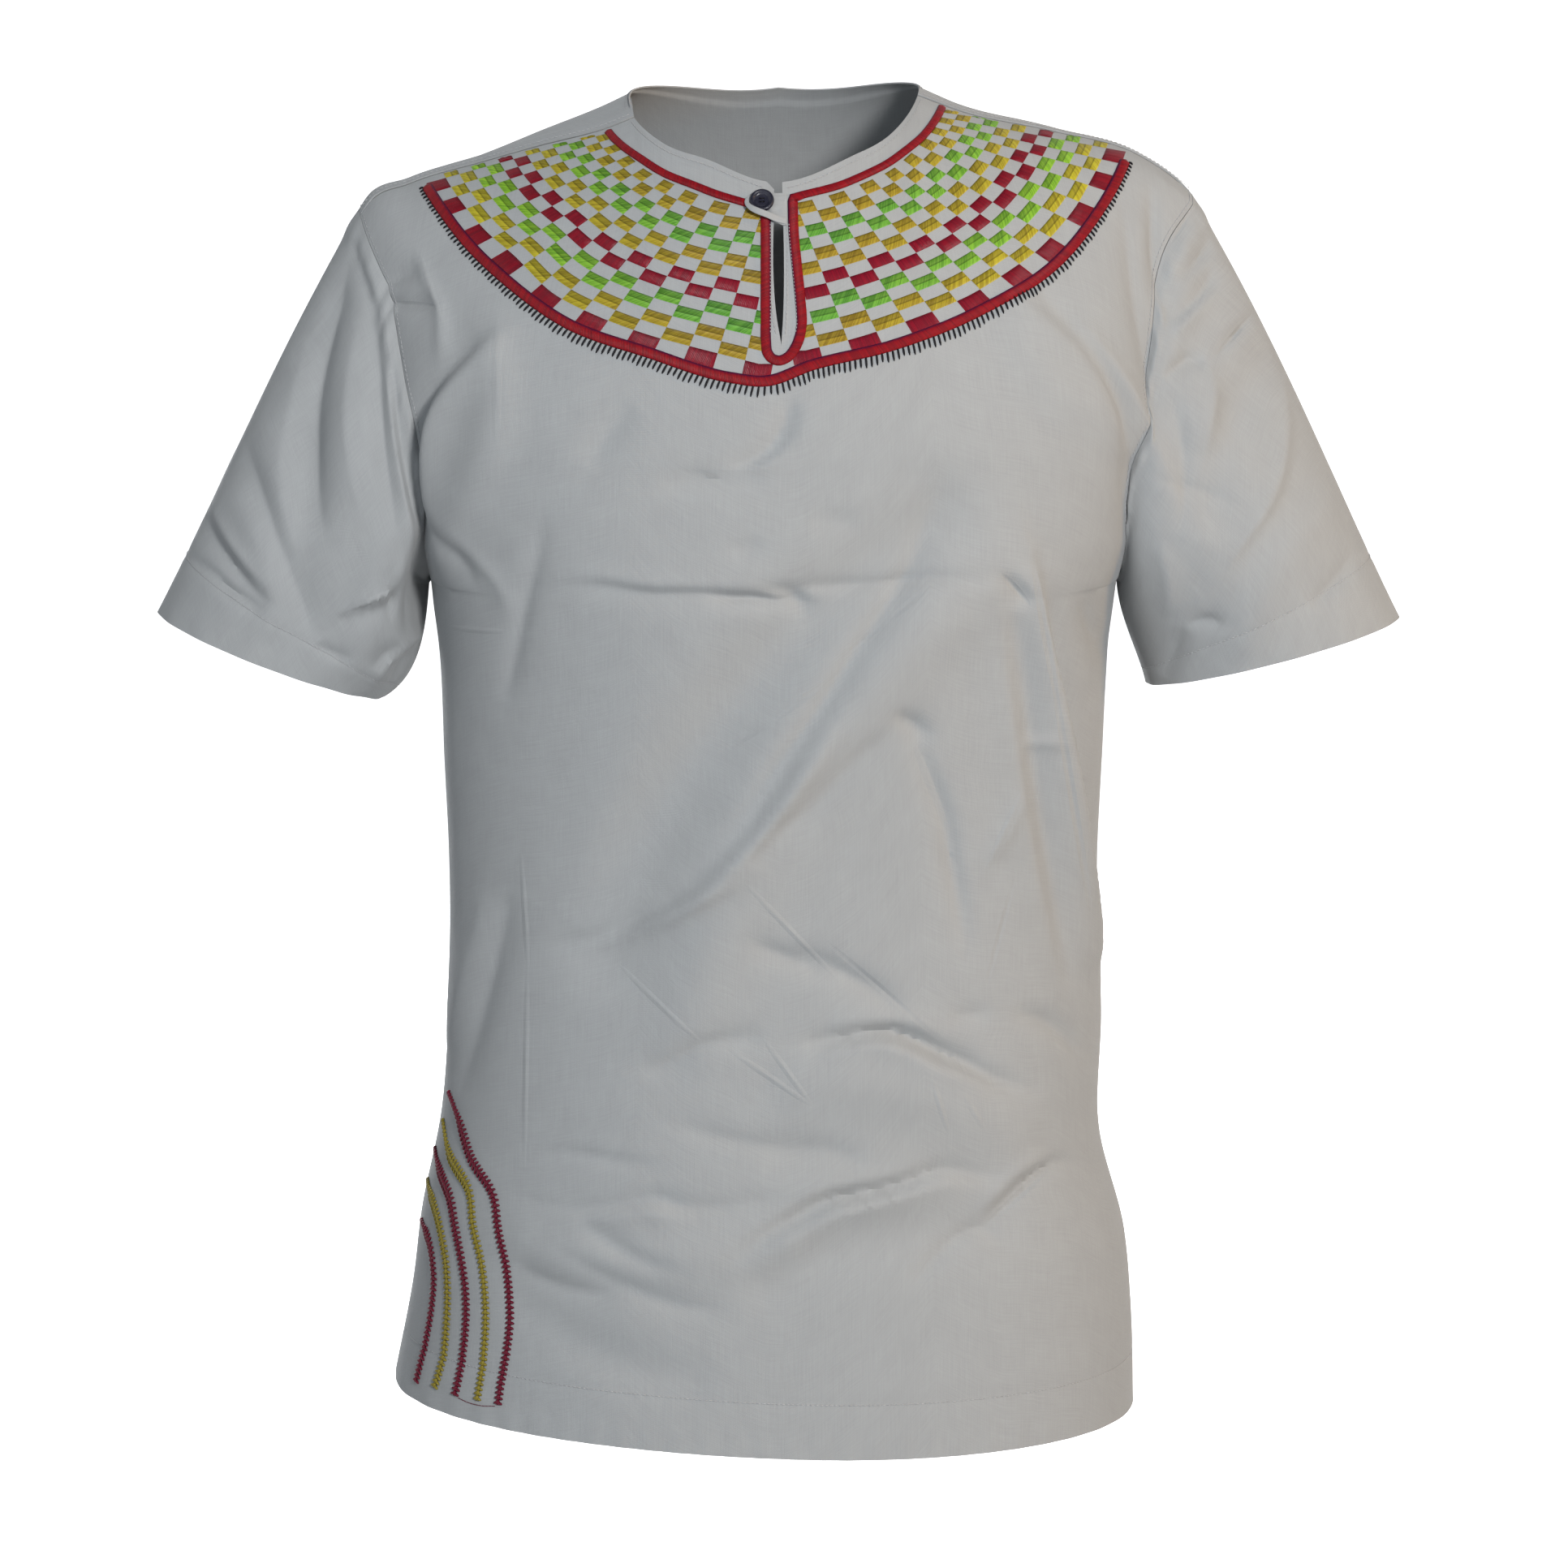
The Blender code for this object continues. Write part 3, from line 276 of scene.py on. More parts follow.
def read(table, column, at):
    """The value of one column of a table at the places `at`, on a smooth curve through its rows."""
    rows = np.array(sorted(table), dtype=float)
    knots, values = rows[:, 0], rows[:, column]
    slopes = np.gradient(values, knots)
    at = np.clip(np.asarray(at, dtype=float), knots[0], knots[-1])
    i = np.clip(np.searchsorted(knots, at) - 1, 0, len(knots) - 2)
    width = knots[i + 1] - knots[i]
    t = (at - knots[i]) / width
    return (values[i] * (1 + 2 * t) * (1 - t) ** 2 + values[i + 1] * t ** 2 * (3 - 2 * t)
            + width * t * (1 - t) * (slopes[i] * (1 - t) - slopes[i + 1] * t))


def unit(vectors):
    return vectors / np.maximum(np.linalg.norm(vectors, axis=-1, keepdims=True), 1e-12)


def walk_along(points):
    """How far along a line of points each one is."""
    return np.concatenate([[0], np.cumsum(np.linalg.norm(np.diff(points, axis=0), axis=1))])


def half_width(s, z):
    """Half the body's width on the side that s lies on, at a height."""
    return np.where(s < 0, read(WIDTHS, 1, z), read(WIDTHS, 2, z))


def shoulder_end_z(s):
    """The height of the shoulder ridge where it meets the armhole, on the side that s lies on."""
    return read(RIDGE, 1, np.sign(s) * half_width(s, WIDTHS[-1][0]))


def plan_bow(s):
    """How deep the body is at s, as a share of its full depth."""
    return np.maximum(1 - s ** PLAN_ROUND, 0) ** (1 / PLAN_ROUND)


def body_shape(s, h):
    """A point of the smooth body. s runs from the left side (-1) to the right (1), and h from the hem in
    front (-2) over the chest (-1), the shoulder ridge (0) and the back (1) to the hem behind (2)."""
    s, h = np.broadcast_arrays(np.asarray(s, dtype=float), np.asarray(h, dtype=float))
    turn = np.minimum(np.abs(h), 1) * math.pi / 2
    power = 2 / np.where(h < 0, FRONT_ROUND, BACK_ROUND)
    up, out = np.maximum(np.cos(turn), 0) ** power, np.sin(turn) ** power
    below = CHEST_Z + (np.abs(h) - 1) * (HEM_Z - CHEST_Z)
    in_shoulder = np.abs(h) < 1
    width_z = np.where(in_shoulder, CHEST_Z + (shoulder_end_z(s) - CHEST_Z) * up, below)
    x = s * half_width(s, width_z)
    ridge_z = read(RIDGE, 1, s * half_width(s, WIDTHS[-1][0]))
    lift = read(HEM_LIFT, 1, s) * np.clip((UNDERARM_Z - below) / (UNDERARM_Z - HEM_Z), 0, 1)
    z = np.where(in_shoulder, CHEST_Z + (ridge_z - CHEST_Z) * up, below + lift)
    level = np.minimum(width_z, CHEST_Z)
    full = np.where(h < 0, read(DEPTHS, 1, level), read(DEPTHS, 2, level))
    closed = full * plan_bow(np.abs(s))
    edge = np.where(h < 0, ARMHOLE_DEPTHS[0], ARMHOLE_DEPTHS[1])
    cut = 1 - ARMHOLE_TURN
    opened = edge + (full - edge) * (plan_bow(cut * np.abs(s)) - plan_bow(cut)) / (1 - plan_bow(cut))
    fall = np.clip((level - HOLLOW_END_Z) / (CHEST_Z - HOLLOW_END_Z), 0, 1)
    drop = np.clip((CHEST_Z - level) / (CHEST_Z - UNDERARM_Z), 0, 1)
    at_edge = np.abs(s) ** 12
    share = fall ** 2 * (3 - 2 * fall) * (1 - at_edge) + np.sqrt(1 - drop ** 2) * at_edge
    y = np.where(h < 0, -1, 1) * (closed + (opened - closed) * share) * out
    return np.stack([x, y, z], axis=-1)


def body_normal(s, h):
    """The smooth body's outward direction; at the side seams it lies square to the depth."""
    step = 0.004
    s, h = np.broadcast_arrays(np.asarray(s, dtype=float), np.asarray(h, dtype=float))
    across = body_shape(np.minimum(s + step, 1), h) - body_shape(np.maximum(s - step, -1), h)
    normal = unit(np.cross(across, body_shape(s, h + step) - body_shape(s, h - step)))
    at_side = (np.abs(s) > 0.9999) & (body_shape(s, h)[..., 2] <= UNDERARM_Z + 1e-6)
    normal[..., 1] = np.where(at_side, 0, normal[..., 1])
    return unit(normal)


def fold_height(points, folds):
    """How far the large folds move the cloth out, by its place seen from the front."""
    x, z = points[..., 0], points[..., 2]
    height = np.zeros(x.shape)
    for row in folds:
        x0, z0, x1, z1, bow, half, tall = np.array(row) / TENTHS
        length = math.hypot(x1 - x0, z1 - z0)
        ax, az = (x1 - x0) / length, (z1 - z0) / length
        along = ((x - x0) * ax + (z - z0) * az) / length
        inside = np.clip(along, 0, 1)
        off = (x - x0) * az - (z - z0) * ax - bow * 4 * inside * (1 - inside)
        past = (along - inside) * length
        height += tall * np.exp(-(off / half) ** 2 - (past / half) ** 2) * np.sin(
            math.pi * np.clip(0.12 + 0.76 * along, 0, 1)) ** 0.5
    return height


def route_places(steps):
    """The places (x, z), in metres, of a route that a table gives as its start and steps."""
    return np.cumsum(np.reshape(steps, (-1, 2)), axis=0) / TENTHS


def crease_height(points, creases):
    """How far the fine creases move the cloth out. Each fades towards both its ends."""
    x, z = points[..., 0], points[..., 2]
    height = np.zeros(x.shape)
    for row in creases:
        left, right, tall = np.array(row[:3]) / TENTHS
        route = smooth_route(route_places(row[3:]), CREASE_STEP)
        start, step = route[:-1], np.diff(route, axis=0)
        lengths, walked = np.linalg.norm(step, axis=1), walk_along(route)
        low, high = route.min(axis=0) - CREASE_REACH, route.max(axis=0) + CREASE_REACH
        near = (x > low[0]) & (x < high[0]) & (z > low[1]) & (z < high[1])
        px, pz = x[near][:, None] - start[:, 0], z[near][:, None] - start[:, 1]
        t = np.clip((px * step[:, 0] + pz * step[:, 1]) / lengths ** 2, 0, 1)
        dx, dz = px - t * step[:, 0], pz - t * step[:, 1]
        gap = np.hypot(dx, dz)
        best = gap.argmin(axis=1)
        pick = (np.arange(len(best)), best)
        side = np.sign(px[pick] * step[best, 1] - pz[pick] * step[best, 0])
        along = (walked[best] + t[pick] * lengths[best]) / walked[-1]
        half = np.where(side > 0, right, left)
        fade = np.sin(math.pi * np.clip(along, 0.02, 0.98)) ** 0.7
        height[near] += CREASE_DEPTH * tall * fade * np.exp(-(gap[pick] / half) ** CREASE_ROUND)
    return height


def smooth_route(points, step):
    """Evenly spaced points on a smooth curve through the given ones."""
    points = np.array(points, dtype=float)
    walked = walk_along(points)
    at = np.linspace(0, walked[-1], max(2, int(round(walked[-1] / step))) + 1)
    return np.stack([read(list(zip(walked, points[:, k])), 1, at) for k in range(points.shape[1])], axis=-1)


def body(s, h):
    """A point of the body's cloth with its folds and creases, and its outward direction."""
    point, normal = body_shape(s, h), body_normal(s, h)
    fade = (np.clip(np.abs(point[..., 1]) / SIDE_FADE, 0, 1)
            * np.clip((point[..., 2] - HEM_Z) / HEM_FADE + HEM_FADE_LEFT, 0, 1))
    in_front = point[..., 1] < 0
    height = np.where(in_front, fold_height(point, FOLDS_FRONT), fold_height(point, FOLDS_BACK))
    height = height + np.where(in_front, crease_height(point, CREASES_FRONT),
                               crease_height(point, CREASES_BACK))
    up_from_hem = point[..., 2] - HEM_Z - read(HEM_LIFT, 1, s)
    height = height - PRESS_DEEP * np.exp(-((up_from_hem - BODY_HEM) / PRESS_WIDE) ** 2)
    height = height + HEM_WAVE * np.exp(-(up_from_hem / HEM_WAVE_REACH) ** 2) * np.sin(
        point[..., 0] * HEM_WAVES)
    return point + normal * (height * fade)[..., None], normal


def under_plan(x, y):
    """The (s, h) of the shoulder cloth that lies under the plan point (x, y)."""
    x, y = np.broadcast_arrays(np.asarray(x, dtype=float), np.asarray(y, dtype=float))
    h = 0.3 * np.where(y < 0, -1.0, 1.0)
    power = np.where(y < 0, FRONT_ROUND, BACK_ROUND) / 2
    for _ in range(12):
        up = np.cos(np.abs(h) * math.pi / 2) ** (1 / power)
        s = x / half_width(x, CHEST_Z + (shoulder_end_z(x) - CHEST_Z) * up)
        reach = np.abs(body_shape(s, np.where(y < 0, -1.0, 1.0))[..., 1])
        h = np.where(y < 0, -1, 1) * np.arcsin(np.clip(np.abs(y) / reach, 0, 1) ** power) * 2 / math.pi
    return s, h


def on_front(x, z):
    """The (s, h) of the front cloth that is seen at (x, z)."""
    x, z = np.broadcast_arrays(np.asarray(x, dtype=float), np.asarray(z, dtype=float))
    s = x / 0.2
    for _ in range(12):
        ridge_z = read(RIDGE, 1, s * half_width(s, WIDTHS[-1][0]))
        up = np.clip((z - CHEST_Z) / (ridge_z - CHEST_Z), 0, 1)
        s = x / half_width(x, CHEST_Z + (shoulder_end_z(x) - CHEST_Z) * up)
    low = np.minimum(z, CHEST_Z)
    low_s = x / half_width(x, low)
    low = low - read(HEM_LIFT, 1, low_s) * np.clip((UNDERARM_Z - low) / (UNDERARM_Z - HEM_Z), 0, 1)
    above = z > CHEST_Z
    h = np.where(above, -np.arccos(up ** (FRONT_ROUND / 2)) * 2 / math.pi,
                 -1 - (CHEST_Z - low) / (CHEST_Z - HEM_Z))
    return np.clip(np.where(above, s, low_s), -1, 1), h


def neck_plan(degrees, side, on_cord=False):
    """A plan point (x, y) of the neck edge, or of the cord outside it, at an angle from the front."""
    column = 1 if side < 0 else 2
    radius = read(NECK, column, degrees) + (read(NECK_CORD, column, degrees) if on_cord else 0)
    angle = np.radians(degrees)
    return NECK_X + side * radius * np.sin(angle), -radius * np.cos(angle)


def seam_degrees(side, on_cord=False):
    """The angle round the neck at which its edge, or its cord, meets the shoulder seam."""
    low, high = 45.0, 100.0
    for _ in range(40):
        middle = (low + high) / 2
        x, y = neck_plan(middle, side, on_cord)
        low, high = (middle, high) if y < -read(SEAM_FORWARD, 1, x) else (low, middle)
    return low


def seam_end(side):
    """The place across at which the shoulder seam meets the armhole."""
    x = side * WIDTHS[-1][1 if side < 0 else 2]
    for _ in range(12):
        x = float(body_shape(side, under_plan(x, -read(SEAM_FORWARD, 1, x))[1])[0])
    return x


neck_corner = {side: seam_degrees(side) for side in (-1, 1)}
armhole_top = {side: seam_end(side) for side in (-1, 1)}


def column_tops(places, facing):
    """The (s, h) at which each column of the front (-1) or back (1) panel starts."""
    x, y = np.zeros(len(places)), np.zeros(len(places))
    for i, f in enumerate(places):
        side = -1 if f < 0 else 1
        if abs(f) <= NECK_SHARE + 1e-6:
            share = abs(f) / NECK_SHARE
            corner = neck_corner[side]
            x[i], y[i] = neck_plan(corner * share if facing < 0 else 180 - (180 - corner) * share, side)
        else:
            start = neck_plan(neck_corner[side], side)[0]
            x[i] = start + (armhole_top[side] - start) * (abs(f) - NECK_SHARE) / (1 - NECK_SHARE)
            y[i] = -read(SEAM_FORWARD, 1, x[i])
        if abs(f) > NECK_SHARE - 1e-6:
            y[i] += facing * SEAM_GAP / 2
    s, h = under_plan(x, y)
    return np.where(np.abs(places) > 0.9999, places, s), h


COLUMNS, ROWS_SHOULDER, ROWS_ARMHOLE, ROWS_BODY = 150, 78, 26, 168
CROWDING = 0.62         # how much the columns crowd towards the sides
UNDERARM_ROW = ROWS_SHOULDER + ROWS_ARMHOLE


def panel_grid(facing):
    """The (s, h) of each row and column of a panel, and each row's share of the way down."""
    even = np.linspace(-1, 1, COLUMNS + 1)
    places = np.sin(even * math.pi / 2) * CROWDING + even * (1 - CROWDING)
    corner = np.argmin(np.abs(places - NECK_SHARE))
    inner = np.abs(places) <= places[corner] + 1e-9
    outer = NECK_SHARE + (np.abs(places) - places[corner]) * (1 - NECK_SHARE) / (1 - places[corner])
    places = np.where(inner, places * NECK_SHARE / places[corner], np.sign(places) * outer)
    drop = (CHEST_Z - UNDERARM_Z) / (CHEST_Z - HEM_Z)
    rows = np.concatenate([np.linspace(0, 1, ROWS_SHOULDER + 1),
                           1 + drop * np.sin(np.linspace(0, math.pi / 2, ROWS_ARMHOLE + 1))[1:],
                           np.linspace(1 + drop, 2, ROWS_BODY + 1)[1:]])
    top_s, top_h = column_tops(places, facing)
    down = np.minimum(rows, 1)[:, None]
    s = top_s + (places - top_s) * down
    h = np.where(rows[:, None] <= 1, top_h + (facing - top_h) * down, facing * rows[:, None])
    return s, h


def cells(grid):
    """The four corners of every cell of a grid of values."""
    return np.stack([grid[:-1, :-1], grid[1:, :-1], grid[1:, 1:], grid[:-1, 1:]], axis=2)


def add_uv(mesh, name, places):
    """A UV map from one (u, v) for each corner of each face."""
    mesh.uv_layers.new(name=name).data.foreach_set("uv", np.array(places, dtype=np.float32).ravel())


def cloth_uv(points):
    """Places on the flat cloth, in metres, from a grid of points."""
    across = np.linalg.norm(np.diff(points, axis=1), axis=2)
    across = np.cumsum(np.concatenate([np.zeros((len(points), 1)), across], axis=1), axis=1)
    down = np.concatenate([np.zeros((1, points.shape[1])), np.linalg.norm(np.diff(points, axis=0), axis=2)])
    across -= across[:, across.shape[1] // 2][:, None]
    return np.stack([across, -np.cumsum(down, axis=0)], axis=-1)


def cloth_shell(name, outer, inward, quads, corner_uv, finish):
    """A closed thin shell: an outer and an inner face with a rim along every edge."""
    count = len(outer)
    ends = np.stack([quads, np.roll(quads, -1, axis=1)], axis=-1).reshape(-1, 2)
    uv_ends = np.stack([corner_uv, np.roll(corner_uv, -1, axis=1)], axis=2).reshape(-1, 2, 2)
    key, back = ends[:, 0] * count + ends[:, 1], ends[:, 1] * count + ends[:, 0]
    rim = ~np.isin(key, back)
    a, b = ends[rim].T
    rim_quads = np.stack([b, a, a + count, b + count], axis=1)
    rim_uv = uv_ends[rim][:, [1, 0, 0, 1]]
    faces = np.concatenate([quads, quads[:, ::-1] + count, rim_quads])
    uvs = np.concatenate([corner_uv, corner_uv[:, ::-1], rim_uv])
    mesh = bpy.data.meshes.new(name)
    points = np.concatenate([outer, outer + inward])
    mesh.vertices.add(len(points))
    mesh.vertices.foreach_set("co", points.astype(np.float32).ravel())
    mesh.loops.add(faces.size)
    mesh.loops.foreach_set("vertex_index", faces.astype(np.int32).ravel())
    mesh.polygons.add(len(faces))
    mesh.polygons.foreach_set("loop_start", np.arange(0, faces.size, 4, dtype=np.int32))
    mesh.polygons.foreach_set("use_smooth", np.ones(len(faces), dtype=bool))
    mesh.update(calc_edges=True)
    add_uv(mesh, "cloth", uvs)
    mesh.validate()
    mesh.set_sharp_from_angle(angle=math.radians(50))
    mesh.materials.append(finish)
    return add_object(name, mesh)


def add_nodes(tree, **made):
    """Nodes of a tree by name: (type, {property: value}, {input: value or source}). A source is a socket, or
    the name of a node before it with its output's number."""
    nodes = {}
    for label, (kind, settings, inputs) in made.items():
        node = nodes[label] = tree.nodes.new(kind)
        for key, value in settings.items():
            setattr(node, key, value)
        for key, value in inputs.items():
            named = isinstance(value, tuple) and len(value) == 2 and isinstance(value[0], str)
            fill(node, {key: nodes[value[0]].outputs[value[1]] if named else value})
    return nodes


def maths(operation, *values, **settings):
    """A Math node, as add_nodes takes it."""
    return "ShaderNodeMath", {"operation": operation, **settings}, dict(enumerate(values))


def mixed(share, dark, light, **settings):
    """A node that mixes two colours; its output 2 is the colour."""
    return "ShaderNodeMix", {"data_type": "RGBA", **settings}, {0: share, 6: dark, 7: light}


def parted(vector):
    """A node that gives a vector's x, y and z."""
    return "ShaderNodeSeparateXYZ", {}, {0: vector}


def noise(place, scale, detail, **more):
    """A Noise Texture node at a place."""
    return "ShaderNodeTexNoise", {}, {"Vector": place, "Scale": scale, "Detail": detail, **more}


def new_tree(name, kind, inputs, outputs):
    """A node group with its inputs (name: type, or type and value) and outputs, and the sockets inside it."""
    tree = bpy.data.node_groups.new(name, kind)
    for way, sockets in (("INPUT", inputs), ("OUTPUT", outputs)):
        for label, (socket_type, *value) in sockets.items():
            socket = tree.interface.new_socket(label, in_out=way, socket_type="NodeSocket" + socket_type)
            if value:
                socket.default_value = value[0]
    return tree, tree.nodes.new("NodeGroupInput").outputs, tree.nodes.new("NodeGroupOutput").inputs


def woven_cotton_group():
    """Plain weave: threads that pass over and under, with thick places in them and a soft mottle, and
    each thread's crown painted lighter and its edges darker: a painted highlight and painted shade.
    """
    group, given, out = new_tree(
        "woven cotton", "ShaderNodeTree",
        {"Place": ("Vector",), "Light": ("Color",), "Dark": ("Color",), "Thread pitch": ("Float", 0.00055),
         "Slubs": ("Float", 0.5), "Crumple": ("Float", 1.0)}, {"Color": ("Color",), "Height": ("Float",)})
    place = given["Place"]
    n = add_nodes(
        group,
        split=parted(place),
        u=maths("DIVIDE", ("split", 0), given["Thread pitch"]),
        v=maths("DIVIDE", ("split", 1), given["Thread pitch"]),
        warp=maths("PINGPONG", ("u", 0), 0.5),
        weft=maths("PINGPONG", ("v", 0), 0.5),
        grid=("ShaderNodeCombineXYZ", {}, {0: ("u", 0), 1: ("v", 0)}),
        over=("ShaderNodeTexChecker", {}, {0: ("grid", 0), 1: (1, 1, 1, 1), 2: (0, 0, 0, 1), 3: 1.0}),
        thread=("ShaderNodeMix", {}, {0: ("over", 1), 2: ("warp", 0), 3: ("weft", 0)}),
        tall=("ShaderNodeMapping", {}, {0: place, 3: (1500, 45, 1)}),
        wide=("ShaderNodeMapping", {}, {0: place, 3: (45, 1500, 1)}),
        warp_slub=noise(("tall", 0), 1.0, 2.0),
        weft_slub=noise(("wide", 0), 1.0, 2.0),
        slub=maths("ADD", ("warp_slub", 0), ("weft_slub", 0)),
        mottle=noise(place, 55.0, 3.0, Roughness=0.6),
        crumple=noise(place, 95.0, 2.0, Distortion=0.8),
        slub_off=maths("MULTIPLY_ADD", ("slub", 0), 1.0, -1.0),
        slub_part=maths("MULTIPLY", ("slub_off", 0), given["Slubs"]),
        mottle_part=maths("MULTIPLY_ADD", ("mottle", 0), 0.40, 0.30),
        # Painted highlight and shade: each thread's crown is lighter, and it is darker where threads meet.
        thread_part=maths("MULTIPLY_ADD", ("thread", 0), 0.5, -0.12),
        mix_a=maths("ADD", ("slub_part", 0), ("mottle_part", 0)),
        share=maths("ADD", ("mix_a", 0), ("thread_part", 0), use_clamp=True),
        colour=mixed(("share", 0), given["Dark"], given["Light"]),
        thread_high=maths("MULTIPLY", ("thread", 0), 0.16),
        slub_high=maths("MULTIPLY", ("slub_off", 0), 0.10),
        crumple_high=maths("MULTIPLY", ("crumple", 0), given["Crumple"]),
        high_a=maths("ADD", ("thread_high", 0), ("slub_high", 0)),
        high=maths("ADD", ("high_a", 0), ("crumple_high", 0)),
    )
    group.links.new(n["colour"].outputs[2], out["Color"])
    group.links.new(n["high"].outputs[0], out["Height"])
    return group


woven_cotton = woven_cotton_group()


# Hairline creases, pressed sharp: start x and z, end x and z, half-width, and height against the weave's.
PRESSED_LINES_FRONT = (
    (770, -2614, 544, -2804, 20, -0.7), (544, -2804, 340, -2963, 20, -0.7),
    (221, -3120, -69, -3341, 20, -0.9), (-69, -3341, -348, -3513, 20, -0.9),
    (1322, -2503, 1475, -3321, 24, -2.0), (1432, -3095, 1695, -4588, 24, -2.2),
    (679, -3431, 886, -3969, 22, 0.9), (1290, -3733, 1077, -4191, 22, 0.8),
    (1254, -4192, 1077, -4859, 18, -0.7), (1147, -2551, 1313, -2742, 22, -1.6),
    (-1419, -4089, -1383, -4786, 18, 0.9), (-1389, -4709, -1411, -5862, 18, 0.9),
    (-894, -4674, -443, -5074, 20, 0.8), (-301, -5108, 158, -5417, 20, 0.9),
    (-115, -5051, 158, -5417, 20, 0.8), (-224, -4184, 292, -4746, 20, 0.8),
    (215, -4519, 834, -5074, 20, -0.7), (793, -5267, 891, -5598, 20, 0.9), (969, -5377, 1089, -5588, 20, 0.8),
    (1099, -6101, 1475, -5830, 24, -1.4), (-1836, -2919, -1470, -2894, 20, 0.9),
    (-1526, -1194, -1524, -1902, 30, 0.7), (2112, -878, 2076, -1570, 26, -2.2),
    (2085, -1347, 1965, -2240, 26, -2.2), (2016, -2017, 1858, -2550, 26, -2.2),
    (-2215, -1182, -1843, -1178, 20, -1.4), (-1965, -889, -1825, -1273, 22, 0.9),
)
PRESSED_LINES_SLEEVES = (
    (-2373, -2833, -2097, -2711, 22, 1.6), (-2174, -1172, -2121, -1681, 22, -0.9),
    (2586, -1221, 2325, -1473, 20, -1.6), (2223, -674, 2085, -875, 20, -1.8),
)
PRESSED_LINES_BACK = (
    (10, -1500, 30, -4100, 20, 0.7), (30, -3900, 20, -6500, 20, 0.7), (-1600, -2620, 200, -2590, 22, 0.7),
    (0, -2590, 1500, -2610, 22, 0.7), (-900, -3000, 200, -3850, 20, -0.7), (960, -5160, 400, -5560, 20, 0.7),
)


# A line's ellipsoid is centred this far in front of the shoulder ridge, or behind it, and is this deep.
LINE_Y, LINE_DEEP = 0.12, 0.22
LINES_AT_ONCE = 8


def cotton(name, light, dark, facing=-1, lines=()):
    """A plain cotton finish, on the piece's own flat cloth places, with its hairline creases."""
    made, tree, shader = new_finish(name)
    n = add_nodes(
        tree,
        place=("ShaderNodeUVMap", {"uv_map": "cloth"}, {}),
        weave=("ShaderNodeGroup", {"node_tree": woven_cotton}, {}),
        bump=("ShaderNodeBump", {}, {"Strength": 0.55, "Distance": 0.0011}),
    )
    fill(n["weave"], {"Place": n["place"].outputs[0], "Light": (*light, 1), "Dark": (*dark, 1),
                      "Thread pitch": 0.00055, "Crumple": 0.35})
    high = n["weave"].outputs["Height"]
    held = seen_at = tree.nodes.new("ShaderNodeTexCoord").outputs["Object"]
    for number, (*row, tall) in enumerate(lines):
        x0, z0, x1, z1, half = (value / TENTHS for value in row)
        if number % LINES_AT_ONCE == LINES_AT_ONCE - 1:
            # A link to the lines before, too small to see, lets the shader work through them in turn.
            wait = add_nodes(tree, wait=("ShaderNodeVectorMath", {"operation": "MULTIPLY_ADD"}, {
                0: high, 1: (1e-9, 1e-9, 1e-9), 2: seen_at}))
            held = wait["wait"].outputs[0]
        turn, length = math.atan2(z0 - z1, x1 - x0), math.hypot(x1 - x0, z1 - z0)
        line = add_nodes(
            tree,
            place=("ShaderNodeMapping", {"vector_type": "TEXTURE"}, {
                0: held, 1: ((x0 + x1) / 2, facing * LINE_Y, (z0 + z1) / 2), 2: (0, turn, 0),
                3: (length / 2, LINE_DEEP, half)}),
            ridge=("ShaderNodeTexGradient", {"gradient_type": "SPHERICAL"}, {0: ("place", 0)}),
            total=maths("MULTIPLY_ADD", ("ridge", 1), tall, high),
        )
        high = line["total"].outputs[0]
    fill(n["bump"], {"Height": high})
    fill(shader, {"Base Color": n["weave"].outputs["Color"], "Normal": n["bump"].outputs[0],
                  "Roughness": 0.72, "Specular IOR Level": 0.30, "Sheen Weight": 0.12,
                  "Sheen Roughness": 0.45})
    return made


COTTON_LIGHT, COTTON_DARK = (0.366, 0.380, 0.386), (0.268, 0.274, 0.282)
grey_cotton = cotton("grey_cotton_cloth", COTTON_LIGHT, COTTON_DARK)
front_cotton = cotton("grey_cotton_front", COTTON_LIGHT, COTTON_DARK, -1, PRESSED_LINES_FRONT)
back_cotton = cotton("grey_cotton_back", COTTON_LIGHT, COTTON_DARK, 1, PRESSED_LINES_BACK)
sleeve_cotton = cotton("grey_cotton_sleeves", COTTON_LIGHT, COTTON_DARK, -1, PRESSED_LINES_SLEEVES)


